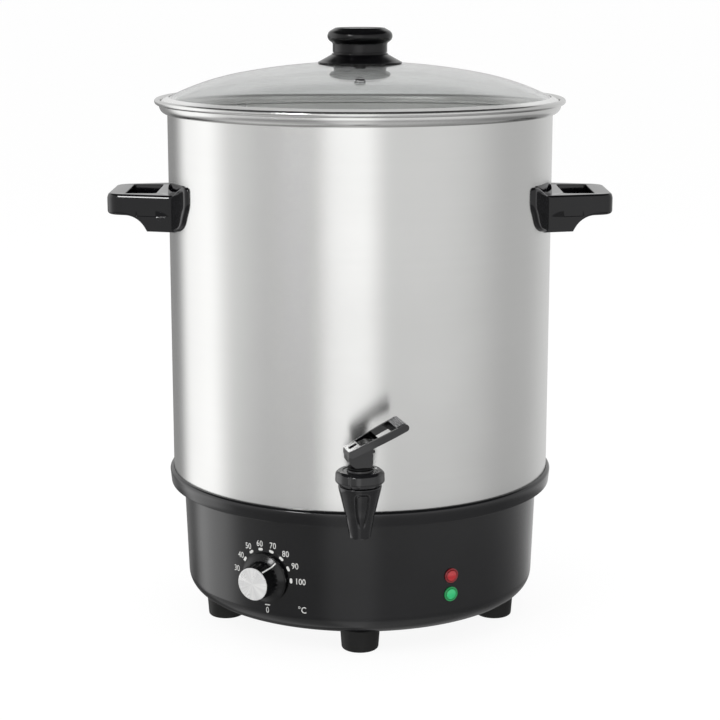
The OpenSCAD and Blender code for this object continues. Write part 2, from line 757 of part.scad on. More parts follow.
grip_top_z = joint_z + handle_z;
handle_screw_z = grip_top_z - web_h / 2;
handle_reach = pot_r + handle_out;
slot_in = pot_r + bridge_w;
slot_out = handle_reach - grip_w;
under_r = 21.5;
root_x = pot_r * cos(asin(handle_root_half / pot_r)) - 1;

// Outline of the handle seen from above
function handle_plan() =
    let (c = handle_corner_r, x = handle_reach - c, y = handle_half - c,
         lean = atan2(x - root_x, handle_root_half - handle_half) )
    concat(arc(x, -y, c, -lean, 0, 6), arc(x, y, c, 0, lean, 6),
        [[root_x, handle_root_half], [root_x - 20, handle_root_half]],
        [[root_x - 20, -handle_root_half], [root_x, -handle_root_half]]);

// Outline of the handle seen from the front
function handle_side() =
    let (low = grip_top_z - web_h, grip = grip_top_z - grip_t)
    concat([[root_x - 20, low]],
        turned(arc(slot_out, grip - under_r, under_r, 90, 180 - asin(1 - (web_h - grip_t) / under_r))),
        arc(handle_reach - 3, grip + 3, 3, -90, 0, 4),
        arc(handle_reach - 3, grip_top_z - 3, 3, 0, 90, 4),
        [[root_x - 20, grip_top_z]]);

// Both halves of an outline that is the same left and right of the handle's middle
function both(half) = concat(half, [for (p = turned(half)) [-p[0], p[1]]]);

// Outline of the flange, whose top rises to the ends
function flange_side() =
    let (low = grip_top_z - web_h, tip = grip_top_z + flange_rise - 0.5)
    both(concat([[flange_half - 32, low + 0.8], [flange_half - 16, low + 4], [flange_half - 10, low + 7],
        [flange_half - 6, low + 15], [flange_half, grip_top_z - 6]],
        arc(flange_half - 3, tip - 3, 3, 0, 100, 4), [[handle_root_half, grip_top_z]]));

// Outline of one ear
function ear_side() =
    let (top = grip_top_z + flange_rise, inner = handle_root_half - 13)
    concat([[inner - 12, grip_top_z - 3]], turned(arc(inner, top - 12, 12, 90, 180)),
        turned(arc(flange_half - 5.5, top - 5, 5, 0, 90, 4)), [[flange_half - 0.5, grip_top_z - 3]]);

module hug(thick, low, high) {
    intersection() {
        difference() {
            translate([0, 0, low]) cylinder(r = pot_r + set_gap + thick, h = high - low, $fn = 180);
            translate([0, 0, low - past]) cylinder(r = pot_r + set_gap, h = high - low + 2 * past, $fn = 180);
        }
        translate([pot_r / 2, 0, 0]) rotate([90, 0, 90]) linear_extrude(pot_r) children();
    }
}

module handle() {
    low = grip_top_z - web_h;
    top = grip_top_z + flange_rise;
    color("#161616") difference() {
        union() {
            intersection() {
                translate([0, 0, low - past]) linear_extrude(web_h + 2 * past) polygon(handle_plan());
                translate([0, handle_root_half + past, 0]) rotate([90, 0, 0])
                    linear_extrude(2 * handle_root_half + 2 * past) polygon(handle_side());
            }
            hug(flange_t, low, top) polygon(flange_side());
            hug(ear_t, low, top) polygon(ear_side());
            hug(ear_t, low, top) mirror([1, 0]) polygon(ear_side());
        }
        cylinder(r = pot_r + set_gap, h = 3 * grip_top_z, $fn = 180);
        translate([0, 0, low - past]) linear_extrude(web_h + 2 * past)
            polygon(round_rect(slot_in, slot_out, -slot_half, slot_half, 3));
        for (i = [-1, 1]) rotate([0, 0, i * handle_screw_angle])
            translate([pot_r - past, 0, handle_screw_z]) rotate([0, 90, 0])
                cylinder(r = handle_screw_r + shaft_gap, h = bridge_w - 1 + past, $fn = 32);
    }
}

module handle_left() {
    mirror([1, 0, 0]) handle();
}

module handle_right() {
    handle();
}

module handle_screw(side, i) {
    turn = side * (90 + (2 * i - 3) * handle_screw_angle);
    head_h = 3;
    color("silver") on_drum(turn, pot_r - pot_wall - 0.3 - head_h, handle_screw_z) {
        cylinder(r1 = 4.5, r2 = 6, h = head_h);
        cylinder(r = handle_screw_r, h = head_h + pot_wall + bridge_w - 2, $fn = 32);
    }
}

// TAP

tap_y = pot_r + tap_reach;
tap_z = joint_z + shank_z;
seat_z = tap_z - seat_drop;
spout_z = tap_z - spout_drop;
shoulder_top = tap_z + body_rise;
neck_r = body_top_r - 2.8;
neck_h = 8;
bonnet_z = shoulder_top + set_gap;
bonnet_top = shoulder_top + bonnet_h;
swivel_z = bonnet_top + run_gap;
pin_z = swivel_z + swivel_h + run_gap + cam_foot;
flange_y = pot_r + 3.6;
tap_flange_r = 13;
cup_r = chamber_r - 1.5;
cup_h = 5.5;
spring_low = seat_z + run_gap + cup_h;
spring_top = shoulder_top + neck_h;
// Length of the stem past its pin
stem_over = 2.4;
// Wall of the lever that covers the pin's front end
pin_cover = 1.2;
// Half the width of the hub's block, which stands back from the arms
hub_block_half = hub_half - 0.9;
// Wall of the lever's arms
arm_w = 2.2;
// Start and width of the web between the arms, and its depth under their top
web_back = 7.4;
web_w = 4.4;
web_sink = 4;
// Start of the opening over the hub's crown
crown_back = -2;

module at_tap(z) {
    translate([0, -tap_y, z]) children();
}

module tap_body() {
    low = spout_z;
    color("#141414") difference() {
        union() {
            at_tap(0) rotate_extrude() polygon([[0, low], [spout_r, low], [spout_r + 0.5, low + 4],
                [spout_r + 1.6, low + 10], [spout_r + 3, low + 18], [chamber_r + 2.5, seat_z + 0.5],
                [body_top_r - 2.3, shoulder_top - 11], [body_top_r, shoulder_top - 2],
                [body_top_r, shoulder_top], [neck_r, shoulder_top], [neck_r, shoulder_top + neck_h - set_gap],
                [0, shoulder_top + neck_h - set_gap]]);
            on_drum(0, pot_r - 16, tap_z) cylinder(r = shank_r, h = 16 + tap_reach);
            on_drum(0, flange_y, tap_z) cylinder(r = tap_flange_r, h = 3.4);
        }
        at_tap(seat_z) cylinder(r = chamber_r, h = 60);
        at_tap(low - past) cylinder(r = spout_bore_r, h = seat_z - low + 2 * past);
        on_drum(0, pot_r - 17, tap_z) cylinder(r = way_r, h = 17 + tap_reach);
    }
}

module tap_outer_washer() {
    color("#303030") difference() {
        on_drum(0, pot_r - 3, tap_z)
            tube(tap_flange_r - 0.6, shank_r + set_gap, flange_y - pot_r + 3 - set_gap);
        translate([0, 0, tap_z - 30]) cylinder(r = pot_r + set_gap, h = 60, $fn = 180);
    }
}

module tap_inner_washer() {
    color("#303030") intersection() {
        on_drum(0, pot_r - 5, tap_z) tube(tap_flange_r, shank_r + set_gap, 8);
        translate([0, 0, tap_z - 30]) cylinder(r = pot_r - pot_wall - set_gap, h = 60, $fn = 180);
    }
}

module tap_nut() {
    color("#141414") on_drum(0, pot_r - 5.1 - 8, tap_z) hex_nut(26, shank_r + shaft_gap, 8);
}

module tap_bonnet() {
    color("#141414") at_tap(bonnet_z) difference() {
        rotate_extrude() polygon([[0, 0], [body_top_r - 0.6, 0], [bonnet_r - 0.3, 3], [bonnet_r, 4.4],
            [bonnet_r - 0.1, bonnet_h - 5], [bonnet_r - 1.2, bonnet_h - 1.8],
            [bonnet_r - 2.4, bonnet_h - set_gap], [0, bonnet_h - set_gap]]);
        translate([0, 0, -past]) cylinder(r = neck_r + shaft_gap, h = neck_h + past);
        cylinder(r = stem_r + shaft_gap, h = bonnet_h + past);
    }
}

module tap_swivel() {
    color("#101010") at_tap(swivel_z) tube(swivel_r, stem_r + shaft_gap, swivel_h);
}

module tap_stem() {
    color("silver") difference() {
        union() {
            at_tap(seat_z + run_gap + 2) cylinder(r = stem_r, h = pin_z - seat_z - run_gap - 2 + stem_over);
            at_tap(spring_low - 2.2) cylinder(r = stem_r + 2, h = 1.2);
        }
        at_tap(pin_z) rotate([0, 0, lever_swing]) rotate([90, 0, 0])
            translate([0, 0, -20]) cylinder(r = pin_r + 0.02, h = 40, $fn = 48);
    }
}

module tap_cup() {
    color("#e8e4da") at_tap(seat_z + run_gap) difference() {
        union() {
            cylinder(r = cup_r, h = cup_h - 1);
            translate([0, 0, cup_h - 1]) cylinder(r = stem_r + 3, h = 1);
        }
        translate([0, 0, 2]) cylinder(r = stem_r, h = cup_h);
        translate([0, 0, cup_h - 2.2]) cylinder(r = stem_r + 2, h = 1.2);
    }
}

wire_r = 0.7;
coil_r = stem_r + 2.4;
coil_turns = 6;
coil_steps = 20;

// Sweep of a round wire along the spring's helix
function coil_ring(i, sides) =
    let (n = coil_turns * coil_steps, t = i / n, a = 360 * coil_turns * t,
         z = spring_low + wire_r + (spring_top - spring_low - 2 * wire_r - set_gap) * t)
    [for (k = [0 : sides - 1]) let (b = 360 * k / sides, r = coil_r + wire_r * cos(b))
        [r * cos(a), r * sin(a), z + wire_r * sin(b)]];

module tap_spring() {
    sides = 8;
    n = coil_turns * coil_steps;
    points = [for (i = [0 : n]) each coil_ring(i, sides)];
    walls = [for (i = [0 : n - 1], k = [0 : sides - 1]) let (m = (k + 1) % sides)
        [i * sides + k, i * sides + m, (i + 1) * sides + m, (i + 1) * sides + k]];
    ends = [[for (k = [sides - 1 : -1 : 0]) k], [for (k = [0 : sides - 1]) n * sides + k]];
    color("silver") at_tap(0)
        polyhedron(points, concat([for (f = walls) turned(f)], [for (f = ends) turned(f)]));
}

module at_lever() {
    at_tap(pin_z) rotate([0, 0, lever_swing]) children();
}

// Outline of the lever's hub from the side: a flat foot and a cam whose height grows evenly with the tilt
function cam_point(tilt) =
    let (h = cam_foot + cam_rise * tilt * PI / 180, a = -90 - tilt)
    [h * cos(a) + cam_rise * sin(a), h * sin(a) - cam_rise * cos(a)];
hub_front = 8.7;
hub_back = 11.6;

function hub_side() = concat(
    [[hub_front, 8]],
    turned(arc(hub_front - 3, -cam_foot + 3, 3, -90, 0, 4)),
    [for (tilt = [0 : 5 : cam_tilt + 5]) cam_point(tilt)],
    [[-hub_back, arm_line(-hub_back) - 1], [hub_front, arm_line(hub_front) - 3]]);
function arm_line(a) = arm_rise + a * tan(lever_slope);

function arm_side() =
    let (s = lever_slope, drop = arm_t / cos(s), tip = lever_length * cos(s), r = arm_t / 2,
         mid = [tip - r, arm_line(tip - r) - drop / 2])
    concat([[-hub_back, arm_line(-hub_back)], [-hub_back, arm_line(-hub_back) - drop * 0.7],
        [-hub_back + 3, arm_line(-hub_back + 3) - drop]],
        arc(mid[0], mid[1], r, s - 90, s + 90, 8));

// Half width of the lever at a distance from its pin: it swells soon after the hub and then stays even
function lever_width(a) =
    let (share = (a + hub_back) / (lever_length - 14 + hub_back))
    hub_half + (tip_half - hub_half) * sin(90 * max(0, min(1, share)));

// Outline from above of what lies between two distances, with the walls of the arms taken off
function lever_plan(from, to, wall) =
    let (stops = [for (k = [0 : 6]) from + (to - from) * k / 6])
    concat([for (a = stops) [a, -lever_width(a) + wall]],
        turned([for (a = stops) [a, lever_width(a) - wall]]));

module tap_lever() {
    slit = stem_r + run_gap;
    pad = 10;
    tip = lever_length + 4;
    crown_z = norm([stem_r, stem_over]) + run_gap + 2;
    web_ends = [web_back - 1, web_back + web_w + 1];
    sweep = [-slit * cos(cam_tilt), slit * sin(cam_tilt)];
    color("#101010") at_lever() difference() {
        union() {
            rotate([90, 0, 0]) translate([0, 0, -hub_block_half])
                linear_extrude(2 * hub_block_half) polygon(hub_side());
            intersection() {
                rotate([90, 0, 0]) translate([0, 0, -20]) linear_extrude(40) polygon(arm_side());
                translate([0, 0, -20]) linear_extrude(80) polygon(lever_plan(-hub_back - 1, tip, 0));
            }
            rotate([90, 0, 0]) translate([hub_front + 0.6, 5.6, 1 - hub_block_half])
                cylinder(r = 1.5, h = 2 * hub_block_half - 2, $fn = 32);
        }
        // Window between the cross web and the pad
        translate([0, 0, -20]) linear_extrude(80)
            polygon(lever_plan(web_back + web_w, lever_length * cos(lever_slope) - pad, arm_w));
        // Top of the web, sunk between the arms
        intersection() {
            translate([0, 0, -20]) linear_extrude(80)
                polygon(lever_plan(web_back - 1, web_back + web_w + 1, arm_w));
            rotate([90, 0, 0]) translate([0, 0, -20]) linear_extrude(40)
                polygon(concat([for (a = web_ends) [a, arm_line(a) - web_sink]],
                    turned([for (a = web_ends) [a, arm_line(a) + 20]])));
        }
        // Opening over the crown, which runs out under the back arm
        translate([0, 0, crown_z]) linear_extrude(80) polygon(lever_plan(crown_back, web_back, arm_w));
        rotate([90, 0, 0]) translate([0, 0, -tip_half - 1]) linear_extrude(tip_half - 3)
            polygon([[crown_back, crown_z], [web_back, crown_z], [web_back, arm_line(web_back) - 3.6],
                [crown_back, arm_line(crown_back) - 1.6]]);
        // Pocket in the top of the hub's back
        translate([-9.4, -2.8, crown_z - 1.2]) cube([6.4, 5.6, 20]);
        // Slot for the stem over the whole tilt
        rotate([90, 0, 0]) translate([0, 0, -slit]) linear_extrude(2 * slit) union() {
            circle(r = norm([stem_r, stem_over]) + run_gap, $fn = 48);
            polygon([[slit, 0], [slit, -20], [-25, -20], sweep - [25, 25 * tan(90 - cam_tilt)], sweep]);
        }
        rotate([90, 0, 0]) translate([0, 0, -20])
            cylinder(r = pin_r + 0.02, h = 20 + hub_block_half - pin_cover, $fn = 48);
    }
}

module lever_pin() {
    color("silver") at_lever() rotate([90, 0, 0]) translate([0, 0, 0.3 - hub_block_half])
        cylinder(r = pin_r, h = 2 * hub_block_half - 0.3 - pin_cover - 0.2, $fn = 48);
}

pot_shell();
base_housing();
bottom_plate();
heat_plate();
heating_element();
heat_shield();
thermal_cutout();
sensor_bulb();
sensor_tube();
thermostat();
terminal_block();
wire_loom();
cable_gland();
gland_nut();
lamp_lens(lamp_drop, "red");  // red_lamp_lens
lamp_body(lamp_drop);  // red_lamp_body
lamp_lens(lamp_drop + lamp_gap, "limegreen");  // green_lamp_lens
lamp_body(lamp_drop + lamp_gap);  // green_lamp_body
dial_shaft();
dial_knob();
dial_cap();
dial_pointer();
lid_glass();
lid_ring();
lid_knob();
knob_inlay();
knob_screw();
knob_washer();
steam_vent();
handle_left();
handle_right();
tap_body();
tap_outer_washer();
tap_inner_washer();
tap_nut();
tap_bonnet();
tap_swivel();
tap_stem();
tap_cup();
tap_spring();
lever_pin();
tap_lever();
for (i = [1 : 2]) handle_screw(-1, i);
for (i = [1 : 2]) handle_screw(1, i);
for (i = [1 : plate_screws]) plate_screw(i);
for (i = [1 : foot_count]) foot(i);
for (i = [1 : foot_count]) foot_screw(i);
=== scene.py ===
# %% [markdown]
# # A hot drink boiler in Blender
# The CAD model is the fixed frame: its solids carry the joints and the sizes. This lesson dresses it.
# Blender works in metres and the maker's drawing in millimetres, so every shape below is worked out in
# millimetres as whole numpy arrays and scaled once, when it becomes a mesh.

# %% Load the frame
import json
import math

import bmesh
import bpy
import numpy as np
from mathutils import Matrix, Vector


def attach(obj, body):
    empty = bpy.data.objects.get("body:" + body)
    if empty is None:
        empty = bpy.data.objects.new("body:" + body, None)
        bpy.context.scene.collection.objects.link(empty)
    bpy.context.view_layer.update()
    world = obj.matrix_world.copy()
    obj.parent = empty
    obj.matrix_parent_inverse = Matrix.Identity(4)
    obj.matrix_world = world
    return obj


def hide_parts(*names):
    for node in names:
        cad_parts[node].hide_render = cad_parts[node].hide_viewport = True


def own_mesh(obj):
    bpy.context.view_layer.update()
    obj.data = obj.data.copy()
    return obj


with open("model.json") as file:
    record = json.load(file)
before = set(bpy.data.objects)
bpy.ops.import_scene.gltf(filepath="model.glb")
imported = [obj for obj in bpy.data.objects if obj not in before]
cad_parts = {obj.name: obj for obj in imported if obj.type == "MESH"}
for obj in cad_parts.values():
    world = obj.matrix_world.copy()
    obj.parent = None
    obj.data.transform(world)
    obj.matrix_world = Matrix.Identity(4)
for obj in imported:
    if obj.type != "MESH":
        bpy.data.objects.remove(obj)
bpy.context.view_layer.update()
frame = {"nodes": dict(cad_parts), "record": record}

MM = 0.001

# %% [markdown]
# ## Camera
# The photograph looks at the boiler from the front, a little from above, through a long lens. A long
# lens could be faked with an orthographic camera, but then the ovals of the rim and of the base would
# have the same opening; in the photograph the lower one is rounder, so a perspective camera is used.

# %% Camera
LENS, SENSOR = 94.6, 36
CAMERA_PLACE, CAMERA_DIP = (0, -1.696, 0.5804), 11.69

camera_data = bpy.data.cameras.new("camera")
camera_data.lens = LENS
camera_data.sensor_width = SENSOR
camera = bpy.data.objects.new("camera", camera_data)
camera.location = CAMERA_PLACE
camera.rotation_euler = (math.radians(90 - CAMERA_DIP), 0, 0)
bpy.context.scene.collection.objects.link(camera)
bpy.context.scene.camera = camera
bpy.context.scene.view_settings.view_transform = "Standard"
print("camera at", CAMERA_PLACE, "m, looking down by", CAMERA_DIP, "degrees")

# %% [markdown]
# ## Tools for turning a formula into a mesh
# Most pieces start as an outline of arcs and lines, the way a turner draws a section. A surface is a
# grid of points: row i, column j. The faces of such a grid are the same for every piece, so they are
# worked out in one place. A row whose points all fall together is a pole: merging the doubles closes
# it. The sign of the enclosed volume tells whether the faces point outwards.

# %% Outlines
def arc(cx, cy, r, start, end, steps=12):
    """Points (cx + r cos a, cy + r sin a) for a from start to end, in degrees."""
    a = np.radians(np.linspace(start, end, steps + 1))
    return np.stack([cx + r * np.cos(a), cy + r * np.sin(a)], -1)


def line(start, end, steps=1):
    """Points evenly spaced on the straight line from start to end."""
    return np.linspace(start, end, steps + 1)


def outline(*parts):
    """Arcs, lines and single points joined into one list of points, without doubles."""
    points = np.vstack([np.atleast_2d(np.asarray(p, float)) for p in parts])
    step = np.linalg.norm(np.diff(points, axis=0), axis=1)
    return points[np.r_[True, step > 1e-6]]


print("a corner of 2 mm:", len(outline((0, 0), arc(2, 2, 2, 180, 90))), "points")


# %% Grid surfaces
def grid_faces(rows, cols, wrap_rows, wrap_cols):
    """Corners (i, j), (i+1, j), (i+1, j+1), (i, j+1) of every cell; a wrapped side joins last to first."""
    i, j = np.meshgrid(np.arange(rows if wrap_rows else rows - 1),
                       np.arange(cols if wrap_cols else cols - 1), indexing="ij")
    up, right = (i + 1) % rows, (j + 1) % cols
    return np.stack([i * cols + j, up * cols + j, up * cols + right, i * cols + right], -1).reshape(-1, 4)


def capped(grid):
    """The grid with a first and a last row added, each shrunk to the middle of its neighbour."""
    first, last = (np.broadcast_to(row.mean(0), row.shape)[None] for row in (grid[0], grid[-1]))
    return np.concatenate([first, grid, last])


def turned_about(profile, turns=192):
    """Rows of (r cos a, r sin a, z) for the profile's points (r, z) at even angles a around Z."""
    a = np.linspace(0, 2 * np.pi, turns, endpoint=False)[:, None]
    r, z = profile[:, 0], profile[:, 1]
    return np.stack([r * np.cos(a), r * np.sin(a), np.broadcast_to(z, (turns, len(z)))], -1)


def sunk(grid, r, depth):
    """Grid points moved towards the Z axis: x and y times (r - depth) / r, with z as it was."""
    share = ((r - depth) / r)[..., None]
    return grid * np.concatenate([share, share, np.ones_like(share)], -1)


def placed(grid, origin, x, y, z):
    """Grid points carried from a local frame: origin + px x + py y + pz z."""
    return np.asarray(origin) + grid @ np.stack([x, y, z])


print("3 rows of 4 points, closed one way:", len(grid_faces(3, 4, False, True)), "faces")

# %% Pieces
MERGE_DISTANCE, THIN_DISTANCE = 2e-6, 1e-7


def finished(name, mesh, material, body, replaces, sharp):
    """Cleans a mesh, makes its object, rides it on its body, and hides the CAD parts it replaces."""
    bm = bmesh.new()
    bm.from_mesh(mesh)
    bmesh.ops.remove_doubles(bm, verts=bm.verts, dist=MERGE_DISTANCE)
    bmesh.ops.dissolve_degenerate(bm, edges=bm.edges, dist=THIN_DISTANCE)
    if bm.calc_volume(signed=True) < 0:
        bmesh.ops.reverse_faces(bm, faces=bm.faces)
    open_edges = sum(not e.is_manifold for e in bm.edges)
    bm.to_mesh(mesh)
    bm.free()
    mesh.polygons.foreach_set("use_smooth", [True] * len(mesh.polygons))
    mesh.set_sharp_from_angle(angle=math.radians(sharp))
    made = bpy.data.objects.new(name, mesh)
    bpy.context.scene.collection.objects.link(made)
    mesh.materials.append(material)
    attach(made, body)
    if replaces:
        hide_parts(*replaces)
    print(f"{name}: {len(mesh.polygons)} faces, {open_edges} open edges")
    return made


def piece(name, grids, material, body, replaces=(), sharp=32):
    """Joins grids (points, wrap_rows, wrap_cols) into one mesh, merges doubles, turns the faces
    outwards, marks edges over an angle as sharp, and rides the piece on its body."""
    points, faces, first = [], [], 0
    for grid, wrap_rows, wrap_cols in grids:
        rows, cols = grid.shape[:2]
        points.append(grid.reshape(-1, 3))
        faces.append(grid_faces(rows, cols, wrap_rows, wrap_cols) + first)
        first += rows * cols
    mesh = bpy.data.meshes.new(name)
    mesh.from_pydata((np.vstack(points) * MM).tolist(), [], np.vstack(faces).tolist())
    return finished(name, mesh, material, body, replaces, sharp)


print("points closer than", MERGE_DISTANCE / MM, "mm are merged")

# %% [markdown]
# ## Finishes
# Steel, moulded plastic and glass each have a fine structure that shows only in how they shine. The
# same three effects return in many finishes, so each is a node group: grain (lines drawn along one
# direction), skin (the faint unevenness of moulded plastic) and marks (clouds left by wiping hands).
# A group puts out values only; the shader stays in the material, where its constants are set.

# %% Node helpers
def new_group(name, inputs, outputs):
    """A shader group with float or vector sockets, and its input and output nodes."""
    tree = bpy.data.node_groups.new(name, "ShaderNodeTree")
    for title, default in inputs:
        kind = "NodeSocketVector" if isinstance(default, tuple) or title == "Vector" else "NodeSocketFloat"
        made = tree.interface.new_socket(name=title, in_out="INPUT", socket_type=kind)
        if default is not None:
            made.default_value = default
    for title in outputs:
        tree.interface.new_socket(name=title, in_out="OUTPUT", socket_type="NodeSocketFloat")
    return tree, tree.nodes.new("NodeGroupInput"), tree.nodes.new("NodeGroupOutput")


def add(tree, kind, links=None, **settings):
    """A node with its settings; links maps an input's name or number to a value or another socket."""
    node = tree.nodes.new(kind)
    for key, value in settings.items():
        setattr(node, key, value)
    for key, value in (links or {}).items():
        socket = node.inputs[key]
        if isinstance(value, bpy.types.NodeSocket):
            tree.links.new(value, socket)
        else:
            socket.default_value = value
    return node


print("node helpers ready")


# %% Grain
def make_grain():
    """Noise on a vector stretched by Scale: fine lines run where the scale is small."""
    tree, inlet, outlet = new_group("grain", [("Vector", None), ("Scale", (4.0, 4.0, 900.0))],
                                    ["Tone", "Height"])
    drawn = add(tree, "ShaderNodeVectorMath", {0: inlet.outputs["Vector"], 1: inlet.outputs["Scale"]},
                operation="MULTIPLY")
    fine = add(tree, "ShaderNodeTexNoise", {"Vector": drawn.outputs[0], "Scale": 1.0, "Detail": 3.0,
                                            "Roughness": 0.65})
    broad = add(tree, "ShaderNodeTexNoise", {"Vector": drawn.outputs[0], "Scale": 0.13, "Detail": 2.0})
    tone = add(tree, "ShaderNodeMath", {0: fine.outputs[0], 1: broad.outputs[0]}, operation="ADD")
    half = add(tree, "ShaderNodeMath", {0: tone.outputs[0], 1: 0.5}, operation="MULTIPLY")
    tree.links.new(half.outputs[0], outlet.inputs["Tone"])
    tree.links.new(fine.outputs[0], outlet.inputs["Height"])
    return tree


grain_group = make_grain()
print("grain:", len(grain_group.nodes), "nodes")


# %% Skin
def make_skin():
    """Two sizes of noise: the orange peel of a moulded face and the fine etching of its tool."""
    tree, inlet, outlet = new_group("skin", [("Vector", None), ("Peel", 260.0), ("Etch", 2400.0)],
                                    ["Height"])
    peel = add(tree, "ShaderNodeTexNoise", {"Vector": inlet.outputs["Vector"],
                                            "Scale": inlet.outputs["Peel"], "Detail": 1.0})
    etch = add(tree, "ShaderNodeTexNoise", {"Vector": inlet.outputs["Vector"],
                                            "Scale": inlet.outputs["Etch"], "Detail": 2.0})
    weak = add(tree, "ShaderNodeMath", {0: etch.outputs[0], 1: 0.35}, operation="MULTIPLY")
    both = add(tree, "ShaderNodeMath", {0: peel.outputs[0], 1: weak.outputs[0]}, operation="ADD")
    tree.links.new(both.outputs[0], outlet.inputs["Height"])
    return tree


skin_group = make_skin()
print("skin:", len(skin_group.nodes), "nodes")


# %% Marks
def make_marks():
    """Soft clouds spread between Low and High: where hands and cloths have been."""
    tree, inlet, outlet = new_group("marks", [("Vector", None), ("Size", 14.0), ("Low", 0.2),
                                              ("High", 0.3)], ["Value"])
    cloud = add(tree, "ShaderNodeTexNoise", {"Vector": inlet.outputs["Vector"],
                                             "Scale": inlet.outputs["Size"], "Detail": 5.0,
                                             "Roughness": 0.6})
    spread = add(tree, "ShaderNodeMapRange", {"Value": cloud.outputs[0], "From Min": 0.3, "From Max": 0.7,
                                              "To Min": inlet.outputs["Low"],
                                              "To Max": inlet.outputs["High"]})
    tree.links.new(spread.outputs[0], outlet.inputs["Value"])
    return tree


marks_group = make_marks()
print("marks:", len(marks_group.nodes), "nodes")


# %% Finish builder
def start_finish(name, **shader):
    """A material with its Principled shader; constants go on the shader's own sockets."""
    made = bpy.data.materials.new(name)
    made.use_nodes = True
    tree = made.node_tree
    principled = tree.nodes["Principled BSDF"]
    for key, value in shader.items():
        principled.inputs[key.replace("_", " ")].default_value = value
    place = tree.nodes.new("ShaderNodeTexCoord").outputs["Object"]
    return made, tree, principled, place


def use(tree, group, place, **values):
    """Places a node group in a material with its own values."""
    node = add(tree, "ShaderNodeGroup", node_tree=group)
    tree.links.new(place, node.inputs["Vector"])
    for key, value in values.items():
        node.inputs[key].default_value = value
    return node


print("finish builder ready")


# %% What feeds the shader
def colour_by(tree, principled, value, low, high):
    """Base Color goes from the colour low to the colour high as a value goes from 0 to 1."""
    mix = tree.nodes.new("ShaderNodeMix")
    mix.data_type = "RGBA"
    first, second = (s for s in mix.inputs if s.type == "RGBA")
    tree.links.new(value, mix.inputs[0])
    first.default_value, second.default_value = (*low, 1), (*high, 1)
    mixed = next(s for s in mix.outputs if s.type == "RGBA")
    tree.links.new(mixed, principled.inputs["Base Color"])


def shine_by(tree, principled, place, size, rough):
    """Roughness wanders in clouds between the two numbers of rough."""
    marks = use(tree, marks_group, place, Size=size, Low=rough[0], High=rough[1])
    tree.links.new(marks.outputs["Value"], principled.inputs["Roughness"])


def raise_by(tree, principled, height, strength, distance):
    """Feeds a height into the shader's normal through a Bump node."""
    bump = add(tree, "ShaderNodeBump", {"Height": height, "Strength": strength, "Distance": distance})
    tree.links.new(bump.outputs[0], principled.inputs["Normal"])


def swap_shader(tree, factor, first, second):
    """Sends the first shader to the surface where a factor is 0, and the second where it is 1."""
    swap = add(tree, "ShaderNodeMixShader", {0: factor, 1: first, 2: second})
    tree.links.new(swap.outputs[0], tree.nodes["Material Output"].inputs["Surface"])


GRAIN_DEPTH, SKIN_DEPTH = 0.0002, 0.0003
print("the grain is at most", GRAIN_DEPTH / MM, "mm deep and the skin", SKIN_DEPTH / MM, "mm")

# %% Metal and plastic
METAL_CLOUDS = 14.0


def metal_finish(name, low, high, scale, rough, bump=0.04, anisotropic=0.0, metallic=1.0):
    """Metal whose colour and height follow a drawn grain, with wiped clouds in its roughness. A quarter
    turn of the anisotropy lays the long side of a highlight across lines that run round the Z axis."""
    made, tree, principled, place = start_finish(name, Metallic=metallic, Anisotropic=anisotropic,
                                                 Anisotropic_Rotation=0.25 if anisotropic else 0.0)
    grain = use(tree, grain_group, place, Scale=scale)
    colour_by(tree, principled, grain.outputs["Tone"], low, high)
    shine_by(tree, principled, place, METAL_CLOUDS, rough)
    raise_by(tree, principled, grain.outputs["Height"], bump, GRAIN_DEPTH)
    if anisotropic:
        around = add(tree, "ShaderNodeTangent", direction_type="RADIAL", axis="Z")
        tree.links.new(around.outputs[0], principled.inputs["Tangent"])
    return made


def plastic_finish(name, low, high, rough, bump=0.05, peel=260.0, etch=2400.0, size=22.0, **shader):
    """Moulded plastic: an even dark or light colour, a faint skin, and handled clouds in its shine."""
    made, tree, principled, place = start_finish(name, **shader)
    skin = use(tree, skin_group, place, Peel=peel, Etch=etch)
    cloud = use(tree, marks_group, place, Size=size * 0.6, Low=0.0, High=1.0)
    colour_by(tree, principled, cloud.outputs["Value"], low, high)
    shine_by(tree, principled, place, size, rough)
    raise_by(tree, principled, skin.outputs["Height"], bump, SKIN_DEPTH)
    return made


print("clouds on metal:", METAL_CLOUDS, "to a metre")

# %% [markdown]
# ## Metals
# The drum is brushed round its axis, so its grain is stretched along the wall and very fine along Z, and
# its highlights stand as upright bands. The same steel inside would mirror little but the dark ceiling;
# a mirror weakened to 0.6 lets the light that falls in through the lid count as well. The rim is
# polished and pale. The sheets, screws and heater that hide below are rougher and darker.

# %% Metals
drum_steel = metal_finish("drum_steel", (0.69, 0.69, 0.68), (0.725, 0.725, 0.715), (3.0, 3.0, 1500.0),
                          (0.22, 0.26), bump=0.015, anisotropic=0.6)
drum_inside = metal_finish("drum_inside", (0.68, 0.68, 0.67), (0.80, 0.80, 0.79), (5.0, 5.0, 12.0),
                           (0.26, 0.34), bump=0.002, metallic=0.6)
rim_steel = metal_finish("rim_steel", (0.80, 0.80, 0.79), (0.88, 0.88, 0.87), (6.0, 6.0, 300.0),
                         (0.10, 0.16), bump=0.008, metallic=0.5)
sheet_steel = metal_finish("sheet_steel", (0.42, 0.43, 0.44), (0.56, 0.57, 0.58), (160.0, 9.0, 9.0),
                           (0.34, 0.48), bump=0.1)
aluminium = metal_finish("aluminium", (0.58, 0.59, 0.60), (0.72, 0.73, 0.74), (22.0, 22.0, 22.0),
                         (0.38, 0.5), bump=0.08)
element_steel = metal_finish("element_steel", (0.10, 0.09, 0.085), (0.2, 0.18, 0.17), (60.0, 60.0, 60.0),
                             (0.4, 0.55), bump=0.1)
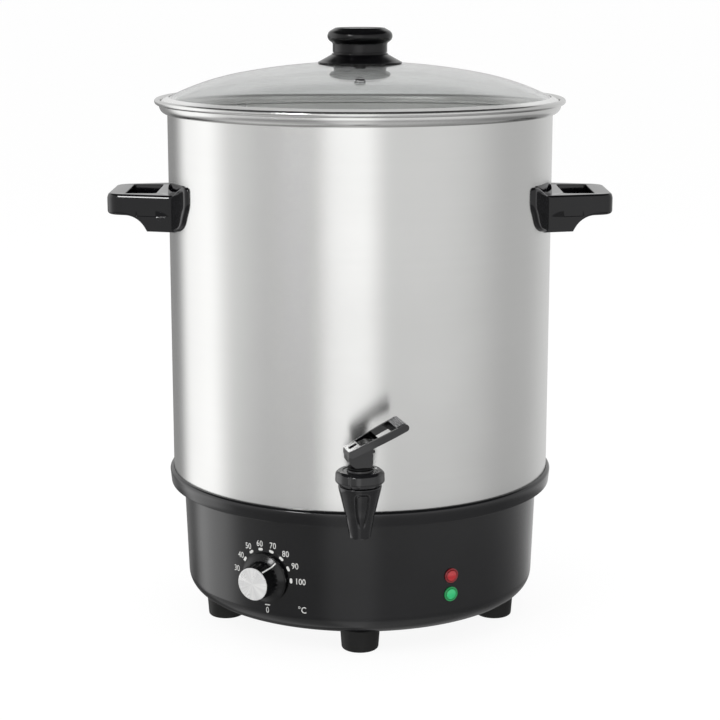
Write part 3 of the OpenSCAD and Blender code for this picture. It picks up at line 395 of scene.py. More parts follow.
copper = metal_finish("copper", (0.66, 0.30, 0.17), (0.80, 0.42, 0.25), (40.0, 40.0, 40.0), (0.25, 0.38))
chrome = metal_finish("chrome", (0.58, 0.58, 0.59), (0.68, 0.68, 0.68), (30.0, 30.0, 30.0), (0.1, 0.17),
                      bump=0.02)
screw_steel = metal_finish("screw_steel", (0.30, 0.30, 0.31), (0.42, 0.42, 0.43), (90.0, 90.0, 90.0),
                           (0.25, 0.36), bump=0.05)
print("metals ready")

# %% [markdown]
# ## Plastics, rubber and ceramic
# Black plastic shows by what it mirrors. Its own colour is close to nothing, and its IOR says how
# strongly it mirrors, so each black has an IOR and a roughness of its own: the base and the tap are
# bright, the dial and the lid's knob are deeper, and the sunk ring under the lever swallows the light.
# One black for all would be simpler, but then the pieces would run together.

# %% Blacks
housing_black = plastic_finish("housing_black", (0.003, 0.003, 0.0035), (0.006, 0.006, 0.007),
                               (0.13, 0.19), bump=0.02, size=9.0, IOR=1.55)
handle_black = plastic_finish("gloss_black", (0.002, 0.002, 0.0025), (0.004, 0.004, 0.005),
                              (0.05, 0.10), bump=0.015, size=30.0, IOR=1.46)
dial_black = plastic_finish("dial_black", (0.001, 0.001, 0.0012), (0.003, 0.003, 0.0035),
                            (0.14, 0.20), bump=0.015, size=30.0, IOR=1.42)
tap_gloss = plastic_finish("tap_gloss", (0.003, 0.003, 0.0035), (0.008, 0.008, 0.009),
                           (0.08, 0.15), bump=0.03, size=40.0, IOR=1.58)
knob_satin = plastic_finish("knob_satin", (0.001, 0.001, 0.0012), (0.003, 0.003, 0.0035),
                            (0.14, 0.22), bump=0.03, size=40.0, IOR=1.4)
recess_black = plastic_finish("recess_black", (0.001, 0.001, 0.0012), (0.003, 0.003, 0.0035),
                              (0.4, 0.5), bump=0.1, size=90.0, IOR=1.35)
part_black = plastic_finish("part_black", (0.014, 0.014, 0.015), (0.022, 0.022, 0.023),
                            (0.32, 0.45), bump=0.1, size=40.0)
rubber = plastic_finish("rubber", (0.004, 0.004, 0.004), (0.008, 0.008, 0.0075), (0.5, 0.65),
                        bump=0.2, peel=700.0, etch=3200.0, size=50.0, IOR=1.38)
print("blacks ready")

# %% Pale and coloured plastics
pad_grey = plastic_finish("pad_grey", (0.10, 0.10, 0.105), (0.16, 0.16, 0.165), (0.3, 0.4),
                          bump=0.1, size=120.0)
cup_rubber = plastic_finish("cup_rubber", (0.62, 0.60, 0.54), (0.72, 0.70, 0.64), (0.45, 0.55),
                            bump=0.1, size=60.0)
lamp_grey = plastic_finish("lamp_grey", (0.18, 0.18, 0.18), (0.24, 0.24, 0.24), (0.4, 0.5), size=60.0)
switch_white = plastic_finish("switch_white", (0.66, 0.66, 0.64), (0.74, 0.74, 0.72), (0.35, 0.45),
                              size=40.0)
block_ivory = plastic_finish("block_ivory", (0.60, 0.55, 0.42), (0.68, 0.63, 0.50), (0.35, 0.5), size=50.0)
wire_sleeve = plastic_finish("wire_sleeve", (0.02, 0.10, 0.36), (0.03, 0.13, 0.44), (0.3, 0.4), size=90.0)
cutout_tan = plastic_finish("cutout_tan", (0.36, 0.24, 0.14), (0.46, 0.32, 0.20), (0.4, 0.55), size=60.0)
print_white = plastic_finish("print_white", (0.72, 0.72, 0.70), (0.82, 0.82, 0.80), (0.4, 0.5),
                             peel=900.0, size=200.0)
print("pale and coloured plastics ready")


# %% [markdown]
# ## The lid's glass
# The glass is 4 mm thick, with a grey cast and a breath of haze. Real glass bends the light that falls
# through it, which leaves the drum below dark and speckled in a render. So for shadow rays the shader
# is swapped for a see-through one, and only what is seen goes through the real glass.

# %% Glass finish
def glass_finish():
    """Clear glass whose colour and haze wander a little, see-through for shadow rays."""
    made, tree, principled, place = start_finish("lid_clear", Transmission_Weight=1.0, IOR=1.47,
                                                 Metallic=0.0)
    cast = use(tree, marks_group, place, Size=5.0, Low=0.0, High=1.0)
    colour_by(tree, principled, cast.outputs["Value"], (0.76, 0.77, 0.765), (0.785, 0.795, 0.79))
    shine_by(tree, principled, place, 11.0, (0.0, 0.02))
    path = tree.nodes.new("ShaderNodeLightPath")
    clear = add(tree, "ShaderNodeBsdfTransparent", {"Color": (0.88, 0.89, 0.88, 1)})
    swap_shader(tree, path.outputs["Is Shadow Ray"], principled.outputs[0], clear.outputs[0])
    return made


lid_clear = glass_finish()
print("glass ready")

# %% [markdown]
# ## The drum
# The drum is one sheet of steel: a flat floor, a rounded lower edge, a plain wall, a rounded ledge
# that the lid sits in, and an edge rolled into a bead. A cylinder with a torus on top would show a hard
# line between them, so the whole section is drawn as one closed outline and turned about the axis.

# %% Drum
JOINT_Z, FLOOR_Z, BEAD_Z, COVE_Z = 135.0, 125.0, 466.0, 462.5
DRUM_R, WALL, DRUM_EDGE = 171.0, 1.0, 6.0
COVE_R, COVE_START, BEAD_R = 7.2, -84, 2.5
BEAD_X = DRUM_R + COVE_R - WALL + BEAD_R


def drum_section():
    """Closed outline (r, z): outside up to the bead, round it, and the inside down to the floor."""
    edge = DRUM_EDGE
    bead_start = -180 + math.degrees(math.acos((BEAD_X - DRUM_R - COVE_R) / BEAD_R))
    return outline(
        (0, FLOOR_Z), arc(DRUM_R - edge, FLOOR_Z + edge, edge, -90, 0),
        line((DRUM_R, FLOOR_Z + edge), (DRUM_R, COVE_Z - COVE_R), 24),
        arc(DRUM_R, COVE_Z, COVE_R, COVE_START, 0, 16),
        arc(BEAD_X, BEAD_Z, BEAD_R, bead_start, 180, 32),
        arc(DRUM_R, COVE_Z, COVE_R - WALL, 0, COVE_START, 16),
        line((DRUM_R - WALL, COVE_Z - COVE_R + WALL), (DRUM_R - WALL, FLOOR_Z + edge), 24),
        arc(DRUM_R - edge, FLOOR_Z + edge, edge - WALL, 0, -90), (0, FLOOR_Z + WALL))


drum = piece("drum", [(turned_about(drum_section(), 288), True, True)], drum_steel, "boiler",
             ["pot_shell"])


# %% Inside of the drum
def faces_inside(mesh):
    """True for a face that looks at the axis below the bead, or that looks up from the floor."""
    middle, normal = np.empty(len(mesh.polygons) * 3), np.empty(len(mesh.polygons) * 3)
    mesh.polygons.foreach_get("center", middle)
    mesh.polygons.foreach_get("normal", normal)
    middle, normal = middle.reshape(-1, 3) / MM, normal.reshape(-1, 3)
    height = middle[:, 2]
    to_axis = ((middle[:, :2] * normal[:, :2]).sum(1) < -1) & (height < BEAD_Z - 1)
    by_floor = (height > FLOOR_Z + WALL / 2) & (height < FLOOR_Z + DRUM_EDGE + WALL)
    return to_axis | (by_floor & (normal[:, 2] > 0.3))


inside = faces_inside(drum.data)
drum.data.materials.append(drum_inside)
drum.data.polygons.foreach_set("material_index", inside.astype(np.int32))
print("faces inside the drum:", int(inside.sum()))

# %% [markdown]
# ## The base housing
# A moulded shell: the lower edge is well rounded, the side leans in a little towards the floor so that
# it leaves its mould, and the collar at the top takes the drum. A cylinder with a Bevel modifier would
# round every edge alike. Here each edge is an arc of its own size in one outline, because the thin lines
# of light on the edges are what makes black plastic readable.

# %% Housing
HOUSE_TOP_R, HOUSE_TAPER, HOUSE_EDGE = 161.9, 3.0, 17.5
BASE_Z, COLLAR_Z, HOUSE_WALL = 20.0, 121.5, 3.0
BASE_OPENING, COLLAR_BEND, COLLAR_EDGE = 96.0, 1.2, 2.8
SIDE_H = COLLAR_Z - BASE_Z - HOUSE_EDGE
LEAN = math.atan(HOUSE_TAPER / SIDE_H)


def house_r(z):
    """Radius of the housing's side at a height: it narrows evenly from the collar down."""
    return HOUSE_TOP_R - HOUSE_TAPER * (COLLAR_Z - z) / SIDE_H


def housing_section():
    """Closed outline (r, z) of the shell, from the hole in its floor round the outside and back."""
    low_x, low_z = HOUSE_TOP_R - HOUSE_TAPER - HOUSE_EDGE, BASE_Z + HOUSE_EDGE
    side_top, seat = COLLAR_Z - COLLAR_BEND, DRUM_R + 0.3
    return outline(
        (BASE_OPENING, BASE_Z), arc(low_x, low_z, HOUSE_EDGE, -90, 0, 24),
        line((house_r(low_z), low_z), (house_r(side_top), side_top), 24),
        arc(HOUSE_TOP_R + COLLAR_BEND, side_top, COLLAR_BEND, 180, 90, 6),
        arc(DRUM_R + 1.5, COLLAR_Z + 1, 1, -90, -10, 8),
        arc(DRUM_R + 0.7, JOINT_Z - COLLAR_EDGE, COLLAR_EDGE, 0, 90, 14),
        (seat, JOINT_Z), (seat, FLOOR_Z), (HOUSE_TOP_R - HOUSE_WALL, FLOOR_Z),
        (low_x + HOUSE_EDGE - HOUSE_WALL, low_z), arc(low_x, low_z, HOUSE_EDGE - HOUSE_WALL, 0, -90),
        (BASE_OPENING, BASE_Z + HOUSE_WALL))


piece("housing", [(turned_about(housing_section(), 288), True, True)], housing_black, "boiler",
      ["base_housing"])

# %% [markdown]
# ## The feet
# Five rubber feet stand on one circle, one of them in front. Each is a low cone with a screw's well in
# its underside. A bevelled cylinder would do from afar, but its well would be missing from below.

# %% Feet
FOOT_RING, FOOT_COUNT = 128.7, 5
FOOT_BORE, FOOT_WELL, WELL_DEPTH = 2.1, 4.6, 7


def foot_section():
    """Closed outline (r, z) of a foot: a slightly conical puck, rounded where it meets the table."""
    return outline((FOOT_BORE, BASE_Z), (17.3, BASE_Z), (17.5, BASE_Z - 0.3), (16.25, 3.2),
                   arc(13.6, 2.6, 2.6, 0, -90, 8), (FOOT_WELL + 0.3, 0),
                   arc(FOOT_WELL + 0.3, 0.3, 0.3, -90, -180, 4), (FOOT_WELL, WELL_DEPTH),
                   (FOOT_BORE, WELL_DEPTH))


for number in range(FOOT_COUNT):
    turn = 2 * math.pi * number / FOOT_COUNT
    foot = turned_about(foot_section(), 72) + [FOOT_RING * math.sin(turn), -FOOT_RING * math.cos(turn), 0]
    piece(f"rubber_foot_{number + 1}", [(foot, True, True)], rubber, "boiler", [f"foot_{number + 1}"])

# %% [markdown]
# ## The glass lid
# The dome is two arcs that meet without a kink: a flat one in the middle and a steeper one outside. A
# scaled half sphere would be wrong at the rim, where the real glass comes down at a clear angle into
# its steel ring. The same height formula carries the glass, the ring's lip, the knob and the vent.

# %% Dome formula
GLASS_T, DOME_R, SHOULDER_R, DOME_REACH, GLASS_R = 4.0, 590.0, 231.0, 110.0, 175.5
meeting = math.asin(DOME_REACH / DOME_R)
SHOULDER_X = DOME_REACH - SHOULDER_R * math.sin(meeting)
SHOULDER_DROP = DOME_R - (DOME_R - SHOULDER_R) * math.cos(meeting)
DOME_Z = BEAD_Z + 0.1 + SHOULDER_DROP - math.sqrt(SHOULDER_R ** 2 - (GLASS_R - SHOULDER_X) ** 2)


def dome_at(r, out=0.0):
    """Height of the dome's outside at radius r, moved out by an amount along its normal."""
    r = np.asarray(r, float)
    middle = DOME_Z - DOME_R + np.sqrt((DOME_R + out) ** 2 - r ** 2)
    skirt = DOME_Z - SHOULDER_DROP + np.sqrt((SHOULDER_R + out) ** 2 - (r - SHOULDER_X) ** 2)
    return np.where(r <= DOME_REACH, middle, skirt)


def dome_line(out, start, end, steps):
    """Points (r, height of the dome) at even radii from start to end."""
    r = np.linspace(start, end, steps + 1)
    return np.stack([r, dome_at(r, out)], -1)


print("dome top at", round(DOME_Z, 2), "mm")

# %% Glass dome
glass_section = outline(dome_line(0, 0, GLASS_R - 1, 72), (GLASS_R, float(dome_at(GLASS_R)) - 1),
                        (GLASS_R, float(dome_at(GLASS_R, -GLASS_T)) + 1),
                        dome_line(-GLASS_T, GLASS_R - 1, 0, 72))
piece("glass_dome", [(turned_about(glass_section, 256), True, True)], lid_clear, "lid", ["lid_glass"])


# %% Lid ring
def ring_section():
    """Closed outline of the steel ring: a lip over the glass, a wall, a foot, and a ledge below."""
    lip, wall, foot, t = 169.9, 176.4, 174.3, 0.8
    foot_z, top, under = 457.6, float(dome_at(wall, 0.9)), -GLASS_T - 0.9
    return outline(
        arc(lip, float(dome_at(lip, 0.5)), 0.4, 260, 90, 8),
        dome_line(0.9, lip + 0.3, wall - 1.2, 8), arc(wall - 1.3, top - 0.9, 1.3, 62, 0, 8),
        (wall, foot_z + 2.1), (foot, foot_z), (lip, foot_z), (lip, foot_z + t), (foot - 0.3, foot_z + t),
        (wall - t, foot_z + 2.4), (wall - t, float(dome_at(wall - t, under))),
        dome_line(under, wall - t - 0.1, lip, 4), dome_line(-GLASS_T - 0.1, lip, GLASS_R + 0.1, 4),
        dome_line(0.1, GLASS_R + 0.1, lip + 0.2, 6))


piece("lid_band", [(turned_about(ring_section(), 288), True, True)], rim_steel, "lid", ["lid_ring"])


# %% Lid knob
def knob_section():
    """Closed outline of the knob: a wide skirt, a groove, a waist, a rounded bead and a sunk top."""
    top, low, skirt, neck = DOME_Z + 29.8, DOME_Z + 7.2, 37.3, 24.2
    rim_z = float(dome_at(skirt)) + 0.1
    return outline(
        (0, DOME_Z + 0.1), (9, DOME_Z + 0.1), (12, DOME_Z + 5), (skirt - 6, DOME_Z + 2.4),
        (skirt - 1.4, rim_z), arc(skirt - 0.7, rim_z + 0.7, 0.7, -90, 40, 8),
        line((skirt - 1.1, rim_z + 1.5), (neck + 0.8, low - 0.6), 6),
        arc(neck - 0.2, low - 0.1, 0.9, -30, 30, 4),
        (neck - 0.9, low + 0.4), (neck - 0.9, low + 1.1), arc(neck - 0.5, low + 1.6, 0.5, -90, 0, 4),
        line((neck, low + 2), (neck, top - 15), 4), arc(neck + 2.5, top - 14.6, 2.5, 180, 135, 5),
        arc(23.2, top - 7.2, 5.6, -46, 64, 20), arc(21.4, top - 1.2, 1.2, 60, 90, 4),
        arc(20.6, top - 0.4, 0.4, 90, 180, 4), (20.2, top - 1.2), (0, top - 1.2))


piece("knob", [(turned_about(knob_section(), 160), True, True)], knob_satin, "lid", ["lid_knob"])
inlay = outline((0, DOME_Z + 28.6), (20, DOME_Z + 28.6), arc(19.6, DOME_Z + 29.1, 0.4, 0, 90, 4),
                dome_line(0, 19, 0, 12) + [0, 29.7])
piece("knob_disc", [(turned_about(inlay, 128), True, True)], knob_satin, "lid", ["knob_inlay"])

# %% Vent in the lid
VENT_R = 110.0
vent_slope = math.asin(VENT_R / DOME_R)
eyelet = outline((1.8, -5.2), (4.4, -5.2), arc(4.2, -4.6, 0.6, -60, 60, 6), (3, -4.1), (3, 0.1),
                 (5.0, 0.1), arc(4.6, 0.7, 0.6, -80, 45, 8), arc(2.6, 1.2, 0.9, 60, 180, 8))
vent = placed(turned_about(eyelet, 64), (0, -VENT_R, float(dome_at(VENT_R))), (1, 0, 0),
              (0, math.cos(vent_slope), math.sin(vent_slope)),
              (0, -math.sin(vent_slope), math.cos(vent_slope)))
piece("vent_eyelet", [(vent, True, True)], chrome, "lid", ["steam_vent"])

# %% [markdown]
# ## The side handles
# Each handle is a flat ring around a finger slot, deeper towards the drum, with an underside that
# curves up. Cutting a slot in a rounded block with booleans leaves messy edges; instead one grid goes
# round the slot, and each of its rows is the section there: top face, rounded edge, wall with its
# parting groove, rounded lower edge, underside, and back up the slot's wall. The edges fade out
# towards the drum, where the grip is cut off flush with the wall.

# %% Outline of the grip
GRIP_TOP, REACH, ROOT_R = 386.7, 223.3, DRUM_R + 0.1
WEB_H, GRIP_T, UNDER_R = 32.0, 18.5, 21.5
GRIP_HALF, GRIP_CORNER, ROOT_HALF, ROOT_X = 44.0, 15.0, 57.0, 160.2
SLOT_OUT, SLOT_IN, SLOT_HALF, SLOT_CORNER = 207.0, 180.0, 35.0, 3.0
FLIP = np.array([1, -1])


def underside(x):
    """Height of the handle's underside: flat at the drum, an arc of radius UNDER_R, then the grip."""
    grip = GRIP_TOP - GRIP_T
    curve = grip - UNDER_R + np.sqrt(np.clip(UNDER_R ** 2 - (SLOT_OUT - x) ** 2, 0, None))
    return np.where(x >= SLOT_OUT, grip, np.maximum(curve, GRIP_TOP - WEB_H))


def grip_loop():
    """The grip's outline (x, y) from above: round outer corners, leaning sides, and the drum's wall."""
    lean = math.degrees(math.atan2(REACH - GRIP_CORNER - ROOT_X, ROOT_HALF - GRIP_HALF))
    root_a = math.degrees(math.asin(ROOT_HALF / ROOT_R))
    side = np.array([ROOT_R * math.cos(math.radians(root_a)), ROOT_HALF])
    end = arc(REACH - GRIP_CORNER, GRIP_HALF - GRIP_CORNER, GRIP_CORNER, 0, lean, 14)
    return np.vstack([end, line(end[-1], side, 40)[1:], arc(0, 0, ROOT_R, root_a, -root_a, 44)[1:],
                      line(side * FLIP, end[-1] * FLIP, 40)[1:], (end[::-1] * FLIP)[1:],
                      line(end[0] * FLIP, end[0], 12)[1:-1]])


print("points round the grip:", len(grip_loop()))


# %% Outline of the slot
def slot_loop():
    """The slot's outline with as many points as the grip's, each beside its partner."""
    far, near, y, c = SLOT_OUT, SLOT_IN, SLOT_HALF, SLOT_CORNER
    end = arc(far - c, y - c, c, 0, 90, 14)
    root = np.vstack([arc(near + c, y - c, c, 90, 180, 12), line((near, y - c), (near, c - y), 20)[1:],
                      arc(near + c, c - y, c, 180, 270, 12)[1:]])
    return np.vstack([end, line((far - c, y), (near + c, y), 40)[1:], root[1:],
                      line((near + c, -y), (far - c, -y), 40)[1:], (end[::-1] * FLIP)[1:],
                      line((far, c - y), (far, y - c), 12)[1:-1]])


def inward(loop):
    """Unit vectors square to a closed loop that runs anticlockwise, pointing to its inside."""
    step = np.roll(loop, -1, 0) - np.roll(loop, 1, 0)
    normal = np.stack([-step[:, 1], step[:, 0]], -1)
    return normal / np.linalg.norm(normal, axis=1, keepdims=True)


print("points round the slot:", len(slot_loop()))

# %% Edges of the grip
TOP_FILLET, TOP_FACET, FACET_LEAN = 2.2, 2.6, 16


def away_from_drum(loop, reach):
    """A column that is 0 on the drum's wall and grows to 1 at a reach in mm from it."""
    return np.clip((np.hypot(loop[:, 0], loop[:, 1]) - ROOT_R) / reach, 0, 1)[:, None]


def top_edge(away):
    """Inset and height down the top edge: a fillet until it has the facet's lean, then the facet."""
    fillet, facet = TOP_FILLET * away + 0.02, TOP_FACET * away + 0.02
    lean, b = math.radians(FACET_LEAN), np.radians(np.linspace(90, FACET_LEAN, 11))
    shift = facet * math.sin(lean) + fillet * (math.cos(lean) - np.cos(b))
    z = GRIP_TOP - fillet * (1 - np.sin(b))
    return [np.concatenate([shift, 0 * facet], 1),
            np.concatenate([z, z[:, -1:] - facet * math.cos(lean)], 1)]


def low_edge(x, low, away):
    """Inset and height round the lower edge: a quarter circle, larger towards the outer end."""
    fillet = 0.05 + away * np.interp(x, [190, 212], [0.9, 3.0])[:, None]
    b = np.radians(np.linspace(0, 90, 9))
    return [fillet * (1 - np.cos(b)), low + fillet * (1 - np.sin(b))]


print("the top edge's fillet is", TOP_FILLET, "mm and its facet", TOP_FACET, "mm")

# %% Walls of the grip
PARTING_Z, PARTING_DEPTH, SLOT_EDGE = 368.2, 0.22, 0.9


def grip_wall(outer, low, low_edge_z):
    """Inset and height of four rows on the wall; the third is sunk and draws the parting line."""
    levels = PARTING_Z + np.array([8, 0.35, 0, -0.35])
    groove = np.array([0, 0, PARTING_DEPTH, 0]) * away_from_drum(outer, 14) * (low < PARTING_Z - 3)
    return [groove, np.maximum(levels, low_edge_z + [0.3, 0.2, 0.1, 0.05])]


def slot_wall(slot):
    """Points (x, y) and heights up the slot's wall, with a small round at its foot and its top."""
    low = underside(slot[:, 0])[:, None]
    c = np.radians(np.linspace(90, 0, 5))
    rise = SLOT_EDGE * (1 - np.sin(c))
    shift = SLOT_EDGE * (1 - np.cos(np.r_[c, c[::-1]]))
    z = np.concatenate([low + rise, GRIP_TOP - rise[::-1] + 0 * low], 1)
    return slot[:, None] - inward(slot)[:, None] * shift[:, None], z


def grip_grid():
    """One row for each point of the outline: top edge, wall, lower edge, then the slot's wall."""
    outer = grip_loop()
    away, low = away_from_drum(outer, 4), underside(outer[:, 0])[:, None]
    lower = low_edge(outer[:, 0], low, away)
    wall = grip_wall(outer, low, lower[1][:, :1])
    shift, z = (np.concatenate(rows, 1) for rows in zip(top_edge(away), wall, lower))
    outside = outer[:, None] + inward(outer)[:, None] * shift[..., None]
    inside, slot_z = slot_wall(slot_loop())
    xy, z = np.concatenate([outside, inside], 1), np.concatenate([z, slot_z], 1)
    return np.concatenate([xy, z[..., None]], -1)


print("the grip's grid:", grip_grid().shape[0], "sections of", grip_grid().shape[1], "points")


# %% Sheets on the drum
def sheet_on_drum(loop, thick, edge, gap=0.1, rings=10):
    """A plate that hugs the drum: loop holds points (y, z) of its outline. Rings shrink from the
    outline to its middle on both faces, and a quarter round leads from the outer face to the drum."""
    (ay, az), (by, bz) = loop[1] - loop[0], loop[2] - loop[1]
    inset = inward(loop) if ay * bz > az * by else -inward(loop)
    middle, face = loop.mean(0), loop + inset * edge
    shrink = np.linspace(0, 1, rings)[1:, None, None]
    b = np.radians(np.linspace(0, 90, 9))[:, None, None]
    rows = np.concatenate([loop + (middle - loop) * shrink[::-1],
                           loop + inset * edge * (1 - np.cos(b)), face + (middle - face) * shrink])
    depth = np.concatenate([0 * shrink, np.sin(b) * thick, 0 * shrink + thick])[..., 0]
    r = DRUM_R + gap + depth
    return np.stack([np.sqrt(r ** 2 - rows[..., 0] ** 2), rows[..., 0], rows[..., 1]], -1)


def smooth_loop(corners, radii, steps=8):
    """Closed polygon with each corner replaced by an arc-like curve of that reach."""
    corners = np.asarray(corners, float)
    parts = []
    for p, c, n, r in zip(np.roll(corners, 1, 0), corners, np.roll(corners, -1, 0), radii):
        a = c + (p - c) / np.linalg.norm(p - c) * min(r, np.linalg.norm(p - c) * 0.49)
        b = c + (n - c) / np.linalg.norm(n - c) * min(r, np.linalg.norm(n - c) * 0.49)
        t = np.linspace(0, 1, steps + 1)[:, None]
        parts.append((1 - t) ** 2 * a + 2 * t * (1 - t) * c + t ** 2 * b)
    return np.vstack(parts)


print("a square with round corners:", len(smooth_loop([(0, 0), (9, 0), (9, 9), (0, 9)], [2] * 4)), "points")


# %% Wings and ears
def wing_loop():
    """Outline (y, z) of a wing: it widens from the grip's root and rises to a horn above it."""
    top, low = GRIP_TOP, GRIP_TOP - WEB_H
    return smooth_loop([(50, low + 0.2), (58.5, low + 0.8), (74.5, low + 3.6), (82, low + 9),
                        (85.5, low + 17), (90.5, top - 6), (90.3, top + 10.8), (82, top + 10.9),
                        (57, top + 0.2), (50, top - 2)], [1, 3, 6, 5, 5, 6, 4, 6, 4, 1])


def ear_loop():
    """Outline (y, z) of an ear: a thin strip that stands above the grip, with round upper corners."""
    top = GRIP_TOP + 11.5
    return smooth_loop([(28, GRIP_TOP - 3), (34, top - 6), (46, top), (84, top), (89, top - 6),
                        (89, GRIP_TOP - 3)], [2, 8, 8, 5, 5, 1])


print("the ears stand", round(ear_loop()[:, 1].max() - GRIP_TOP, 1), "mm above the grip")


# %% Both handles
def handle(side):
    """Grids of one handle: the grip, and before and behind it a wing and an ear; side is 1 or -1."""
    sheets = [sheet_on_drum(wing_loop(), 2.8, 2.4), sheet_on_drum(ear_loop(), 1.3, 0.8)]
    sheets += [(sheet * [1, -1, 1])[::-1] for sheet in sheets]
    grids = [(grip_grid(), True, True)] + [(sheet, False, True) for sheet in sheets]
    return [(grid * [side, side, 1], wrap_rows, wrap_cols) for grid, wrap_rows, wrap_cols in grids]


for side, name, node in ((-1, "left_grip", "handle_left"), (1, "right_grip", "handle_right")):
    piece(name, handle(side), handle_black, "boiler", [node])

# %% [markdown]
# ## The tap
# The body is a cone that narrows to the spout, with a sunk line around an arched field on its front.
# The line could be a bump in the material, but it would vanish at the silhouette and would not be in the
# mesh, so the radius itself is a function of the angle and the height. The bonnet that closes the body
# from above is flattened softly eight times around, so that fingers can turn it.

# %% Groove on the tap
ARCH_TURN, ARCH_LOW, ARCH_TOP, ARCH_HALF = 0.13, 137, 166, 5.4
ARCH_DEPTH, ARCH_SOFT = 1.15, 0.75


def arch_groove(x, z):
    """Depth of the sunk line: near the edge of an arch of half width w(z) that is closed at the top."""
    half = np.interp(z, [ARCH_LOW, 146, 154, ARCH_TOP], [1.8, 3.6, 4.9, ARCH_HALF])
    top = ARCH_TOP - 1.4 * (np.abs(x) / ARCH_HALF) ** 4
    d = np.maximum(np.abs(x) - half, z - top)
    fade = np.clip((z - ARCH_LOW) / 4, 0, 1)
    return ARCH_DEPTH * np.exp(-(d / ARCH_SOFT) ** 2) * fade


print("the groove is", round(float(arch_groove(0, ARCH_TOP)), 2), "mm deep at its top")

# %% Tap body
TAP_Y, TAP_Z, SPOUT_Z = -216.0, 158.0, 127.0
SHOULDER_TOP, NECK_TOP = TAP_Z + 13, 178.9


def tap_body_grid(turns=360):
    """Outside up the cone, over the shoulder and the neck, then down the chamber and the bore."""
    cone_z = np.linspace(SPOUT_Z + 0.6, SHOULDER_TOP - 1.5, 110)
    cone_r = np.interp(cone_z, [127, 131, 137, 145, 151.5, 160, 169, 171],
                       [8.7, 9.2, 10.3, 11.7, 13.5, 15.5, 17.8, 17.8])
    smooth = np.convolve(np.pad(cone_r, 6, mode="edge"), np.ones(13) / 13, "valid")
    section = outline((6, SPOUT_Z), (8.1, SPOUT_Z), np.stack([smooth, cone_z], -1),
                      arc(16.9, SHOULDER_TOP - 0.9, 0.9, 0, 90, 5), (15, SHOULDER_TOP), (15, NECK_TOP),
                      (11, NECK_TOP), (11, 151), (6, 151))
    on_cone = np.isin(np.arange(len(section)), np.arange(len(cone_z)) + 2)
    grid = turned_about(section, turns)
    a, r = np.arctan2(grid[..., 0], -grid[..., 1]), np.hypot(grid[..., 0], grid[..., 1])
    groove = arch_groove(r * np.sin(a - ARCH_TURN), grid[..., 2])
    return sunk(grid, r, np.where(on_cone & (np.abs(a) < 1.2), groove, 0)) + [0, TAP_Y, 0]


def along_y(profile, z, turns=96):
    """A profile (r, y) turned about the level line at height z that runs in Y."""
    grid = turned_about(profile, turns)
    return np.stack([grid[..., 0], grid[..., 2], z + grid[..., 1]], -1)


shank = outline((5.5, -154.5), (9, -154.5), line((9, -154.5), (9, -174.6), 2),
                (13, -174.6), arc(12.2, -177.2, 0.8, 0, -90, 6), arc(10.2, -179.2, 1.2, 90, 180, 6),
                (9, -204.6), (5.5, -204.6))
piece("tap_barrel", [(tap_body_grid(), True, True), (along_y(shank, TAP_Z), True, True)], tap_gloss,
      "boiler", ["tap_body"])

# %% Tap bonnet
BONNET_R, BONNET_H = 20.2, 13.5
FLATS, FLAT_TURN, FLAT_DEPTH = 8, 0.35, 0.22
NOTCH_TURN, NOTCH_WIDTH, NOTCH_DEPTH = -0.44, 0.8, 0.6


def bonnet_section():
    """Closed outline (r, z) of the bonnet: up its side, over a round edge, and back through the bore."""
    z, r, top = SHOULDER_TOP + 0.1, BONNET_R, SHOULDER_TOP + 0.1 + BONNET_H
    return outline((4.05, z + 7.9), (15.05, z + 7.9), (15.05, z), (17.0, z),
                   line((17.3, z + 0.1), (19.8, z + 2.9), 4), arc(19.0, z + 4.2, 1.2, -30, 0, 4),
                   line((r, z + 4.4), (r - 0.2, top - 5), 8), arc(r - 3.2, top - 4.4, 3.0, 0, 62, 10),
                   arc(r - 3.1, top - 2.6, 1.6, 60, 100, 5), (14.4, top - 0.9), (13.4, top - 1.6),
                   (11.2, top - 1.6), (10.8, top - 0.2), (4.05, top - 0.2))


def bonnet_grid(turns=320):
    """The section turned; outside, the radius dips by a cosine eight times around and at one notch."""
    grid = turned_about(bonnet_section(), turns)
    a, r = np.arctan2(grid[..., 0], -grid[..., 1]), np.hypot(grid[..., 0], grid[..., 1])
    outside = np.clip((r - 16.5) / 2, 0, 1)
    notch = np.exp(-((a - NOTCH_TURN) * BONNET_R / NOTCH_WIDTH) ** 2)
    flats = FLAT_DEPTH * (1 + np.cos(FLATS * (a - FLAT_TURN)))
    return sunk(grid, r, outside * (flats + NOTCH_DEPTH * notch)) + [0, TAP_Y, 0]


piece("tap_cap", [(bonnet_grid(), True, True)], tap_gloss, "boiler", ["tap_bonnet"])


# %% [markdown]
# ## The lever
# The lever's slot, its cam and its window were worked out in CAD so that it clears the stem over its
# whole tilt, and those faces have to stay true. So here the CAD mesh is copied, its loose triangles are
# merged, flat ones are joined again, and a Bevel modifier breaks the edges as a mould would. The pad
# that the thumb presses is a new mesh, because its three round ribs are finer than the CAD solid.

# %% Lever from the CAD solid
COPY_MERGE, FLAT_ANGLE = 1e-6, 1.5


